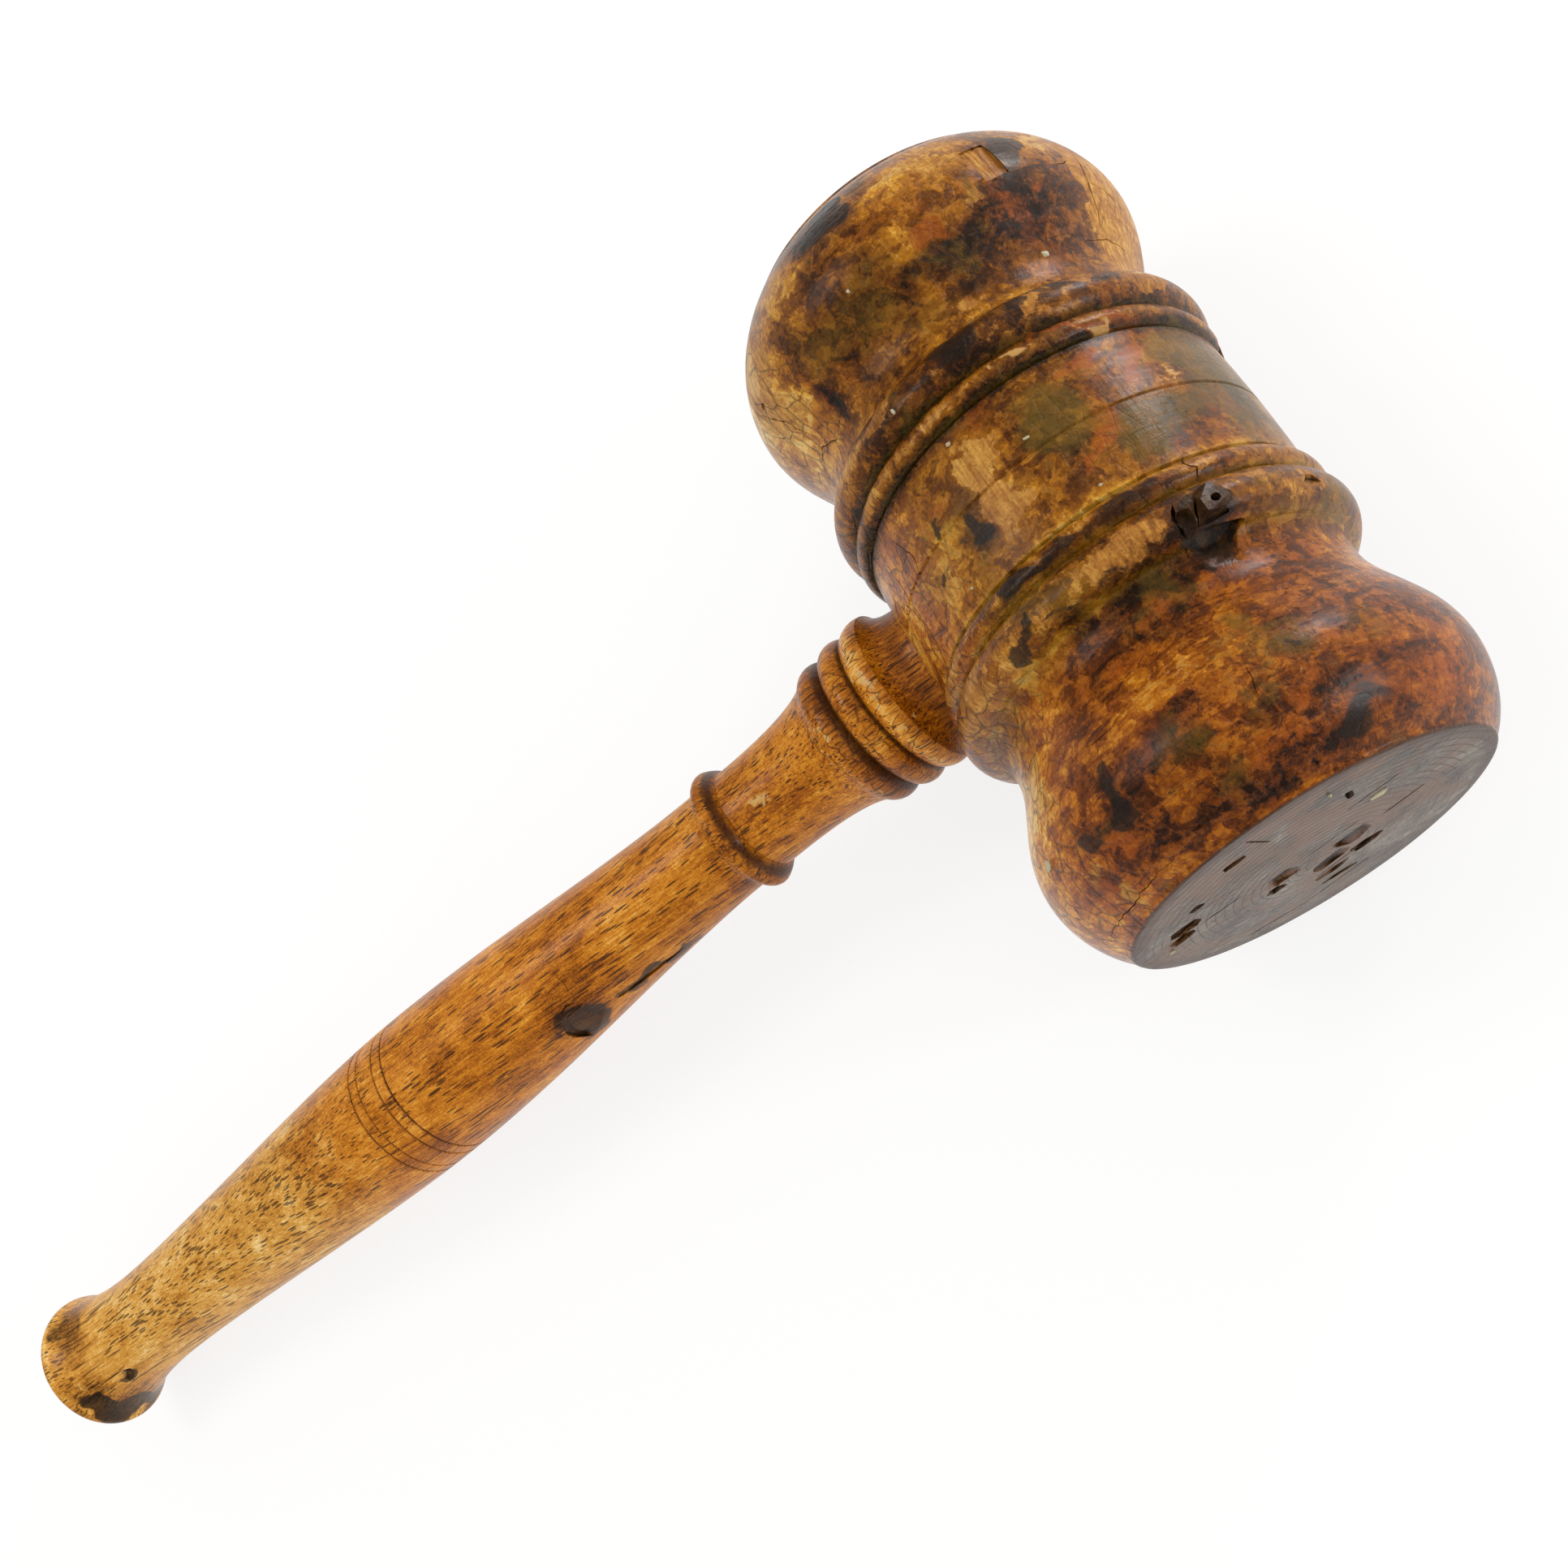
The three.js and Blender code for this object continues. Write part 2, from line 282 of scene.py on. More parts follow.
def handle_outline(s, crown):
    """The handle's outline from tenon to butt, as (place from the head's axis, radius)."""
    step = 1.2 * MM
    fine = 0.45 * MM
    tenon_end = crown - s.tenon_depth
    disc = (crown + s.disc_at, 16.3 * MM)
    first, second, third = (
        (disc[0] + (i + 1) * 5.8 * MM - 0.5 * MM, radius * MM)
        for i, radius in enumerate((15.0, 14.3, 14.0))
    )
    shank = (crown + 43.7 * MM, s.shank_radius)
    single = crown + 50.5 * MM
    grip = (crown + s.grip_at, s.grip_radius)
    butt = crown + s.reach
    wrist = (butt - s.wrist_to_butt, s.wrist_radius)
    knob = butt - s.knob_to_butt
    knob_start = (knob - 1.2 * MM, s.knob_radius - 0.4 * MM)
    knob_end = (knob + 1.35 * MM, s.knob_radius - 0.8 * MM)
    to_knob = knob - wrist[0]
    outline = join(
        straight((tenon_end, 0), (tenon_end, s.tenon_radius), 3 * MM),
        straight((tenon_end, s.tenon_radius), (crown - 2 * MM, s.tenon_radius), 3 * MM),
        curve((crown - 2 * MM, s.tenon_radius), (crown + 2 * MM, s.tenon_radius),
              (disc[0] - 1.2 * MM, 14.2 * MM), (disc[0] - 0.15 * MM, disc[1] - 0.25 * MM), fine),
        arc(disc, (disc[0] + 1.9 * MM, 16.6 * MM), first, fine),
        arc(first, ((first[0] + second[0]) / 2, 16.25 * MM), second, fine),
        arc(second, ((second[0] + third[0]) / 2, 15.5 * MM), third, fine),
        curve(third, (third[0] + 3.2 * MM, 12.0 * MM), (third[0] + 11.2 * MM, s.shank_radius), shank,
              0.9 * MM),
        straight(shank, (single - 3.3 * MM, s.shank_radius), step),
        arc((single - 3.2 * MM, s.shank_radius - 0.25 * MM), (single - 1.0 * MM, 12.9 * MM),
            (single + 0.1 * MM, 13.45 * MM), fine),
        arc((single + 0.1 * MM, 13.45 * MM), (single + 1.2 * MM, 13.3 * MM),
            (single + 2.0 * MM, 12.3 * MM), fine),
        curve((single + 2.0 * MM, 12.3 * MM), (single + 2.3 * MM, 11.7 * MM),
              (single + 2.5 * MM, 11.5 * MM), (single + 3.2 * MM, s.shank_radius + 0.1 * MM), fine),
        level((single + 3.2 * MM, s.shank_radius + 0.1 * MM), grip, 0.28, 0.62, step),
        level(grip, wrist, 0.28, 0.76, step),
        curve(wrist, (wrist[0] + 0.6 * to_knob, wrist[1]),
              (wrist[0] + 0.84 * to_knob, wrist[1] + 0.52 * (s.knob_radius - wrist[1])),
              knob_start, 0.8 * MM),
        arc(knob_start, (knob, s.knob_radius), knob_end, fine),
        curve(knob_end, (knob + 3.2 * MM, 0.7 * s.knob_radius), (butt, 0.36 * s.knob_radius),
              (butt, 0), 0.8 * MM),
    )
    for along, depth in ((-6.5, 0.35), (-3.5, 0.3), (1.6, 0.3), (4.2, 0.35)):
        outline = scribe(outline, grip[0] + along * MM, 0.7 * MM, depth * MM)
    return outline


def clear_selection():
    """Leaves nothing selected, because an operator acts on all that is."""
    if bpy.context.mode != "OBJECT":
        bpy.ops.object.mode_set(mode="OBJECT")
    bpy.ops.object.select_all(action="DESELECT")


def only(piece):
    """Selects one piece and makes it the active one."""
    clear_selection()
    piece.select_set(True)
    bpy.context.view_layer.objects.active = piece


def draw_chain(name, places):
    """A chain of points drawn by extruding a first point from place to place."""
    clear_selection()
    bpy.ops.mesh.primitive_plane_add(size=1 * MM, location=places[0])
    piece = bpy.context.object
    piece.name = piece.data.name = name
    bpy.ops.object.mode_set(mode="EDIT")
    bpy.ops.mesh.select_all(action="SELECT")
    bpy.ops.mesh.merge(type="CENTER")
    for here, there in zip(places, places[1:]):
        bpy.ops.mesh.extrude_region_move(TRANSFORM_OT_translate={"value": there - here})
    return piece


def turned(name, outline, centre, axis, out, sides):
    """Spins an outline about its axis into a closed solid, as on a lathe."""
    piece = draw_chain(name, [centre + axis * along + out * radius for along, radius in outline])
    bpy.ops.mesh.select_all(action="SELECT")
    bpy.ops.mesh.spin(steps=sides, angle=math.tau, center=centre, axis=axis)
    bpy.ops.mesh.select_all(action="SELECT")
    bpy.ops.mesh.remove_doubles(threshold=0.002 * MM)
    bpy.ops.mesh.normals_make_consistent(inside=False)
    bpy.ops.object.mode_set(mode="OBJECT")
    bpy.ops.object.transform_apply(location=True, rotation=True, scale=True)
    return piece


def apply_modifier(piece, kind, **settings):
    """Adds one modifier with its settings and applies it."""
    only(piece)
    modifier = piece.modifiers.new(kind.lower(), kind)
    for key, value in settings.items():
        setattr(modifier, key, value)
    bpy.ops.object.modifier_apply(modifier=modifier.name)


def uneven(piece, size_mm, strength_mm, seed_name, direction="NORMAL"):
    """Lets a surface wander a little, as hand turning, tearing and wear leave it."""
    texture = bpy.data.textures.new(seed_name, "CLOUDS")
    texture.noise_scale = size_mm * MM
    texture.noise_depth = 2
    apply_modifier(piece, "DISPLACE", texture=texture, texture_coords="LOCAL",
                   strength=strength_mm * MM, mid_level=0.5, direction=direction)


def carve(piece, tool, operation="DIFFERENCE"):
    """Cuts one tool out of a piece, or grows it on, and clears the tool away."""
    apply_modifier(piece, "BOOLEAN", object=tool, operation=operation, solver="MANIFOLD")
    bpy.data.objects.remove(tool)


def lay(piece, place, first, out, half_sizes):
    """Scales a piece of half size 1 mm and lays it at a place, its x along first, its z along out."""
    only(piece)
    piece.scale = half_sizes
    piece.rotation_mode = "QUATERNION"
    piece.rotation_quaternion = Matrix((first, out.cross(first), out)).transposed().to_quaternion()
    piece.location = place
    bpy.ops.object.transform_apply(location=True, rotation=True, scale=True)
    return piece


def stone(seed, chops=12):
    """A block of half size 1 mm, chopped to random facets like a flint."""
    rng = random.Random(seed)
    clear_selection()
    bpy.ops.mesh.primitive_cube_add(size=2 * MM)
    bpy.ops.object.mode_set(mode="EDIT")
    for _ in range(chops):
        facing = Vector((rng.gauss(0, 1), rng.gauss(0, 1), rng.gauss(0, 0.8))).normalized()
        bpy.ops.mesh.select_all(action="SELECT")
        bpy.ops.mesh.bisect(plane_co=facing * (rng.uniform(0.82, 1.08) * MM), plane_no=facing,
                            use_fill=True, clear_outer=True)
    bpy.ops.object.mode_set(mode="OBJECT")
    return bpy.context.object


def finish_piece(piece, node, most_faces=200000):
    """Ties a finished piece to its CAD node, or stops the script where it is empty, open or heavy."""
    only(piece)
    bpy.ops.object.mode_set(mode="EDIT")
    bpy.ops.mesh.select_all(action="DESELECT")
    bpy.ops.mesh.select_non_manifold()
    bpy.ops.object.mode_set(mode="OBJECT")
    loose = piece.data.count_selected_items()[0]
    faces = len(piece.data.polygons)
    if faces == 0 or faces > most_faces or loose:
        raise RuntimeError(f"{piece.name} has {faces} faces and {loose} points on open edges")
    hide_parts(node)
    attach(piece, "root")


class Turning:
    """Where a place on a turned piece lies: along its axis, turned round it, and out from it."""

    def __init__(self, centre, axis, zero, side, outline):
        self.centre, self.axis, self.zero, self.side, self.outline = centre, axis, zero, side, outline

    def out(self, turn):
        t = math.radians(turn)
        return self.zero * math.cos(t) + self.side * math.sin(t)

    def place(self, along, turn, lift=0.0):
        """A place on the surface, in millimetres and degrees, lifted off it by some millimetres."""
        radius = radius_at(self.outline, along * MM) + lift * MM
        return self.centre + self.axis * (along * MM) + self.out(turn) * radius

    def coordinates(self, points):
        """(along in mm, turn in degrees, radius in mm) of many points."""
        away = points - np.array(self.centre)
        along = away @ np.array(self.axis)
        up, side = away @ np.array(self.zero), away @ np.array(self.side)
        return along / MM, np.degrees(np.arctan2(side, up)), np.hypot(up, side) / MM


def crack_cutter(turning, path, width, depth, seed):
    """A thin ragged blade along a path on the surface, tapered to nothing at both ends."""
    rng = random.Random(seed)
    lift, step, usual_radius = 0.6, 1.1, 36
    stops = []
    for (a0, t0), (a1, t1) in zip(path, path[1:]):
        span = math.hypot(a1 - a0, math.radians(t1 - t0) * usual_radius)
        count = max(2, round(span / step))
        stops += [(a0 + (a1 - a0) * i / count, t0 + (t1 - t0) * i / count) for i in range(count)]
    stops.append(path[-1])
    ragged = [(a + rng.uniform(-0.2, 0.2), t + rng.uniform(-0.35, 0.35)) for a, t in stops]
    middle_turn = sum(t for _, t in ragged) / len(ragged)
    blade = draw_chain("blade", [turning.place(a, t, lift) for a, t in ragged])
    bpy.ops.mesh.select_all(action="SELECT")
    bpy.ops.mesh.extrude_region_move(
        TRANSFORM_OT_translate={"value": turning.out(middle_turn) * -((depth + lift) * MM)}
    )
    bpy.ops.object.mode_set(mode="OBJECT")
    bpy.ops.object.transform_apply(location=True, rotation=True, scale=True)
    group = blade.vertex_groups.new(name="taper")
    count = len(ragged)
    for index in range(len(blade.data.vertices)):
        share = (index % count) / (count - 1)
        group.add([index], max(0.12, math.sin(math.pi * min(1, max(0, share))) ** 0.6), "REPLACE")
    apply_modifier(blade, "SOLIDIFY", thickness=width * MM, offset=0.0, vertex_group="taper")
    return blade


# ---------------------------------------------------------------- marks left by use


def wrap(degrees):
    """Degrees brought between -180 and 180."""
    return (degrees + 180) % 360 - 180


def wander(points, step, reach, offset):
    """A smooth irregular shift of each point, in millimetres, so that marks get ragged outlines."""
    shifts = [noise.noise_vector(Vector(q) / (step * MM) + Vector((offset, 0, 0))) for q in points]
    return np.array(shifts) * reach


def shade_marks(turning, points, marks, base=0.0):
    """Sum of soft ragged marks at each point: (along, turn, half along, half across, strength)."""
    along, turn, radius = turning.coordinates(points)
    shift = wander(points, 6.0, 3.4, 7.0) + wander(points, 2.4, 1.5, 3.0)
    along = along + shift[:, 0]
    turn = turn + np.degrees(shift[:, 1] / np.maximum(radius, 5))
    total = np.full(len(points), float(base))
    for at, round_at, half_along, half_across, strength in marks:
        across = np.radians(wrap(turn - round_at)) * radius
        reach = ((along - at) / half_along) ** 2 + (across / half_across) ** 2
        total += strength * np.clip(1.25 - 0.75 * reach, 0, 1) ** 1.2
    return total


def bands(places, rows):
    """Sum of soft bands that run round the axis: (place, half width, strength)."""
    return sum(strength * np.exp(-(((places - at) / width) ** 2)) for at, width, strength in rows)


def store(piece, name, values):
    """Writes one number for each point of a piece, for its material to read."""
    attribute = piece.data.attributes.new(name, "FLOAT", "POINT")
    attribute.data.foreach_set("value", np.clip(values, 0, 1).astype(np.float32))


def surface_radius(turning, along):
    """Radius of the turned outline at many places, in millimetres."""
    outline = np.array([q for q in turning.outline if q[1] > CORE])
    return np.interp(along * MM, outline[:, 0], outline[:, 1]) / MM


def points_of(piece):
    """All points of a piece as an array."""
    flat = np.zeros(len(piece.data.vertices) * 3, np.float32)
    piece.data.vertices.foreach_get("co", flat)
    return flat.reshape(-1, 3).astype(float)


def dent_cutter(turning):
    """The dent on the far bulge: a flat-bottomed chip whose floor shows the fibres' ridges."""
    along, turn, squeeze = -53.2, -38.5, 0.08
    clear_selection()
    bpy.ops.mesh.primitive_cube_add(size=2 * MM)
    dent = bpy.context.object
    bpy.ops.object.mode_set(mode="EDIT")
    bpy.ops.mesh.subdivide(number_cuts=26)
    bpy.ops.transform.resize(value=(squeeze, 1, 1))
    bpy.ops.object.mode_set(mode="OBJECT")
    uneven(dent, 0.16, 0.3, "torn_fibres", "Z")
    out = turning.out(turn)
    fibres = (turning.axis + 0.16 * out.cross(turning.axis)).normalized()
    return lay(dent, turning.place(along, turn, 0.55), fibres, out, (3.9 / squeeze, 2.5, 1.3))


# Marks on the head: (place along the axis, turn round it, half length, half width, strength)
# How light each place is; (40, 66) is painted sheen along the near bulge's edge towards the handle, and
# (39, -30) a painted highlight on the near bulge's rise
TONE = [
    (-45, -84, 13, 12, 0.30), (-60, -56, 6, 6, 0.24), (-43, -52, 7, 10, -0.20),
    (-42, -36, 8, 7, -0.16), (-44, -22, 6, 6, -0.10), (-60, -26, 6, 9, 0.24),
    (-58, -12, 6, 4, 0.14), (-48, 4, 9, 8, -0.10), (-45, -12, 3, 2, 0.22),
    (-38, -10, 2.5, 2.5, 0.2), (-33, -14, 1.6, 4.5, 0.28), (-38, 16, 9, 6, -0.12),
    (-60, 25, 7, 7, 0.18), (-52, 50, 13, 11, 0.34), (-57, 66, 8, 10, 0.2), (-36, 60, 7, 12, 0.2),
    (-37, 33, 5, 2.2, -0.3), (-50, 22, 4, 3, 0.1), (-44, 45, 5, 4, 0.12), (-52, 85, 16, 16, 0.25),
    (0, 6, 12, 4, 0.22), (5, 16, 4, 3, -0.3), (0, 30, 12, 6, 0.16), (0, 60, 13, 9, 0.26),
    (-5, -8, 6, 6, -0.12), (5, -12, 5, 5, -0.12), (0, -66, 13, 9, 0.02), (6, -42, 5, 6, -0.12),
    (0, 90, 14, 14, 0.2), (-24, -55, 3, 8, -0.12), (-23, -14, 4, 12, -0.2), (-22, 15, 4, 8, -0.1),
    (-23, 50, 4, 12, 0.14), (17, -12, 3, 26, -0.2), (17, 45, 3, 12, 0.15), (24, -8, 2.6, 7, 0.22),
    (24, 40, 4, 12, 0.16), (24, -70, 3, 8, 0.05), (34, 0, 6, 16, -0.04), (45, -4, 5, 13, 0.16),
    (36, 38, 8, 10, 0.16), (47, 44, 9, 5, 0.2), (36, -70, 7, 8, 0.2), (60, -38, 5, 7, -0.14),
    (55, -22, 4, 3, 0.1), (54, 3, 4.5, 5, -0.16), (47, 12, 3, 8, 0.08), (57, 21, 5, 5, -0.2),
    (60, -66, 8, 8, 0.06), (52, 70, 16, 14, 0.24), (-40, -14, 5, 8, -0.22),
    (28.5, -14, 2.4, 16, -0.3), (33, -6, 3, 9, -0.12), (3, 8, 2.6, 3, -0.2), (-63, 14, 4, 8, -0.22),
    (64.5, -2, 3, 22, -0.26), (57, -22, 3, 5, -0.16), (51, 8, 4, 3, -0.26), (3, -67, 5, 5, -0.2),
    (-44, -42, 5, 6, -0.12), (40, 66, 10, 10, 0.3), (-28.4, -15, 1.4, 20, 0.16),
    (13.4, -20, 1.2, 30, 0.12), (-15, -67, 1.6, 10, -0.16), (45, 50, 4, 6, 0.16),
    (-57, 12, 5, 5, -0.1), (63, 30, 3, 8, -0.1), (39, -30, 3, 8, 0.1), (-33, 42, 3, 8, 0.1),
    (43, -35, 6, 12, -0.04), (66, 40, 3, 20, 0.1),
]
BARE = [
    (-45, -84, 14, 14, 0.75), (-52, -71, 9, 5, 0.6), (-60, -56, 4, 5, 0.3), (-60, -28, 5, 8, 0.3),
    (-48.4, -33, 2.2, 1.6, 0.7), (-55, 50, 10, 8, 0.42), (-45, 47, 3, 3, 0.3),
    (-24.5, -62, 3, 6, 0.6), (-25, -42, 2.4, 3, 0.4), (-23, -27, 2, 2, 0.45), (-25, 22, 3, 4, 0.3),
    (-25, 50, 3, 10, 0.35), (-33, -13, 1.6, 4, 0.35), (0, 7, 10, 3.4, 0.42), (4, 34, 4, 4, 0.25),
    (24, -64, 1.4, 2, 0.5), (24, -10, 2.4, 6, 0.42), (24, 48, 3, 10, 0.4), (17, 55, 2, 9, 0.35),
    (45, -8, 3, 10, 0.2), (55, -24, 4, 2.4, 0.3), (62, 42, 5, 3.4, 0.35), (47, 44, 7, 3, 0.25),
    (-43, -52, 8, 12, -0.4), (-42, -32, 8, 9, -0.25), (43, -36, 14, 14, -0.3),
    (60, -38, 6, 8, -0.3), (34, 0, 6, 22, -0.2),
]
SOOT = [
    (-61, 2, 4.6, 5.6, 1.0), (-55, -46, 5, 2.2, 0.75), (-52.5, -44, 4.6, 1.6, 0.8),
    (-48, -36, 2.4, 2, 0.6), (-36, 33, 4.6, 1.5, 0.75), (-44, 30, 4, 1.4, 0.5),
    (-24.5, -24, 2, 3, 0.85), (-24.5, -36, 1.8, 2, 0.8), (-24, -6, 2.4, 5, 0.8),
    (-24, 10, 2, 3, 0.5), (-23, -50, 2, 4, 0.6), (5.5, 15.6, 3.4, 3.2, 0.8),
    (1.5, 19, 3.0, 1.6, 0.7), (-3, 26, 1.4, 1.2, 0.6), (3, 33, 2, 2.6, 0.6), (8, 30, 1.3, 1.2, 0.6),
    (-5, 33, 1.2, 1.6, 0.6), (16.4, -12, 1.6, 22, 0.62), (17, 18, 1.6, 8, 0.55),
    (24, 22, 2, 4.5, 0.8), (26, 2, 1, 9, 0.6), (25, -31, 5.6, 6.5, 0.9), (53, 21, 3, 1.8, 0.75),
    (57, 24, 2.6, 2.6, 0.85), (58, 33, 3, 2.4, 0.75), (63.5, -32, 2.6, 3.4, 0.8),
    (51, -28, 3, 2.4, 0.6), (51, -22, 2, 1.4, 0.55), (54, -2, 4.5, 3, 0.35), (58, 9, 2.6, 4, 0.35),
    (46, 10, 1.5, 1, 0.4), (-57, 13, 4, 3, 0.4), (-46, 8, 2, 2, 0.4), (12, 10, 1.6, 4, 0.5),
    (47, 33, 3, 1.4, 0.4), (60, 50, 1.6, 1.2, 0.5), (66.5, -30, 1.4, 18, 0.4), (-8, -4, 3, 3, 0.35),
]
RUST = [
    (-46, -17, 2.4, 3, 0.8), (-43, -45, 6, 9, 0.3), (-6, -42, 3.4, 1.8, 0.95),
    (-9, -29, 1.6, 5, 0.8), (-3, -38, 3, 3, 0.5), (4.6, -24, 1.8, 4.4, 0.95),
    (8, -16, 1.6, 3.6, 0.6), (4, -62, 2, 3, 0.7), (-16.4, -33, 1.2, 11, 0.8), (-6, 24, 4, 2.4, 0.4),
    (36, -45, 8, 18, 0.3), (60, -22, 6, 12, 0.34), (55, -64, 2.2, 1.8, 0.9), (63, 42, 2, 2, 0.85),
    (60, 30, 3, 3, 0.45), (36, 4, 6, 14, 0.28), (0, 46, 12, 4, 0.3), (50, -40, 6, 6, 0.3),
    (-56, 8, 3, 3, 0.3), (62, -58, 4, 8, 0.5), (24, -64, 1.5, 2, 0.8),
]
OLIVE = [
    (-3, -16, 7, 6, 0.6), (0, -66, 12, 10, 0.6), (5, -40, 5, 8, 0.6), (-8, -52, 4, 4, 0.5),
    (8, -30, 3, 3, 0.5), (-50, -32, 3, 1.6, 0.5), (52, -44, 3, 5, 0.4), (50, -26, 3, 5, 0.45),
    (55, 4, 4.5, 5, 0.4), (-42, 8, 6, 6, 0.35), (-35, -4, 5, 6, 0.3), (24, -74, 3, 6, 0.6),
    (44, -22, 3, 2, 0.5), (-44, 24, 6, 5, 0.4),
]
# Pale places: worn by handling, and painted highlights at the far inner bead's crest (-16.2, -38 and
# -18) and on the band (-2, -50)
RUBBED_AND_GLINTS = [
    (-57, 49, 5, 4, 0.6), (-58, -56, 4, 5, 0.5), (-44, 46, 2, 2, 0.35), (-16.2, -38, 0.8, 4, 0.6),
    (-16.2, -18, 0.7, 6, 0.45), (53, 52, 2.4, 2, 0.55), (2, 52, 9, 5, 0.2), (-60, -84, 6, 8, 0.4),
    (-36, -82, 6, 10, 0.25), (-2, -50, 2.4, 2.2, 0.4), (-25, -66, 2, 4, 0.3), (62, 60, 5, 8, 0.3),
]
CRACKS = [
    ([(-56, -69), (-48, -68), (-39.5, -69.5)], 0.3, 1.0),
    ([(-48, -68), (-47.4, -76), (-46, -86)], 0.2, 0.6),
    ([(-37, -60), (-38.4, -72), (-37.5, -86)], 0.2, 0.6), ([(-52, -64), (-50, -58)], 0.2, 0.5),
    ([(13.6, -36), (15.4, -34), (16.8, -36), (18.6, -35)], 0.4, 1.3),
    ([(21.6, -25), (24, -23.4), (26, -23.6), (28, -23)], 0.7, 1.6),
    ([(20.8, -31), (21.6, -35), (23.4, -38)], 0.35, 1.2),
    ([(22.4, -29.5), (24, -28.6), (26.4, -28)], 0.45, 1.6),
    ([(-34, 44), (-37, 52), (-36, 60)], 0.2, 0.6), ([(-52, 58), (-45, 52), (-38, 50)], 0.2, 0.6),
    ([(-11, 52), (-3, 50.5), (3, 51.5), (11, 51)], 0.22, 0.6),
    ([(-9, 42), (-3, 38), (2, 41)], 0.2, 0.5), ([(0.6, 54), (0.4, 64), (1, 74)], 0.3, 0.8),
    ([(-5, 56), (-4, 66)], 0.2, 0.6), ([(41, 52), (47, 48), (52, 50)], 0.2, 0.5),
    ([(50, -16), (56, -15)], 0.16, 0.4), ([(44, 8), (46, 15), (45, 24)], 0.16, 0.4),
    ([(66, 22), (66.4, 44), (66, 64)], 0.16, 0.4),
]
# Gouges and cracks of the near face:
# (right of its middle, above it, half length, half width, slant in degrees)
FACE_GOUGES = [
    (-6, -0.5, 2.9, 2.6, 4), (6.5, -4, 3.2, 2.7, 10), (1, -8.6, 3.4, 2.3, 22),
    (7, -11.6, 3.2, 1.8, 12), (-8.6, -5, 1.8, 1.6, 6), (0, -15, 3.4, 1.3, 8),
    (0, -19.6, 3.4, 0.9, -6), (-22.4, 6.4, 3.0, 2.1, 6), (-24.2, 2.4, 2.4, 1.8, 0),
    (-18, 13, 1.4, 1.0, 30), (11, 18, 0.7, 2.0, 0), (-8, 22, 2.0, 1.1, 0),
    (-14, -22.6, 6.8, 0.2, -14), (-1.4, -23, 6.8, 0.18, 9), (-3, 24.6, 4.0, 0.2, 105),
    (4, 2, 5.0, 0.16, 6), (16, -2, 4.0, 0.3, 12), (14, 12, 5.0, 0.18, 8), (-16, 4, 4.0, 0.22, 3),
    (3, -12, 6.0, 0.2, 14),
]
FACE_FLECKS = [(14, 9, 1.5, 0.8), (-27.6, -1, 0.5, 0.6), (9, 24, 0.3, 0.25)]
# The knocked-out knot on the near outer bead with its lump and pin hole, a chip of the far inner bead,
# the far bulge's small hole and a nick: (seed of the facets, along, turn, lift, half sizes, kind)
HEAD_STONES = [
    (3, 23.6, -33.2, -0.35, (2.4, 3.0, 1.7), "UNION"),
    (4, 28.9, -31.2, 1.15, (3.6, 5.6, 2.4), "DIFFERENCE"),
    (5, 25.2, -26.0, 0.9, (2.0, 1.5, 1.7), "DIFFERENCE"),
    (6, 24.3, -33.2, 1.0, (0.8, 0.9, 2.4), "DIFFERENCE"),
    (8, 26.0, -31.0, 0.5, (0.6, 3.4, 1.5), "DIFFERENCE"),
    (9, -15.4, -96, 0.6, (1.6, 3.2, 1.6), "DIFFERENCE"),
    (10, -50.5, 53, 0.0, (0.5, 0.8, 1.6), "DIFFERENCE"),
    (11, 24.6, -64, 0.6, (1.5, 2.4, 1.0), "DIFFERENCE"),
]
# Grooves that hold dirt and, on the far half, painted shade, and crests that are worn pale and painted
# lighter as a highlight, either side of the middle
HEAD_GROOVES = [(14.0, 0.9, 1.0), (18.9, 1.1, 1.0), (27.6, 0.7, 0.8)]
HEAD_CRESTS = [(16.4, 0.7, 1.0), (24.6, 1.3, 1.0)]
# Flecks of paint: (place along, turn round, half length, half width)
PAINT_FLECKS = [
    (-35.3, -44, 0.6, 0.65), (-46, 8, 0.45, 0.3), (-22.2, 16, 0.5, 0.3), (-11.2, 10, 0.3, 0.45),
    (-2.6, -7, 0.25, 0.55), (11.6, -15, 0.25, 0.3), (53, 53, 0.8, 1.0), (10.5, 27, 0.25, 0.25),
]


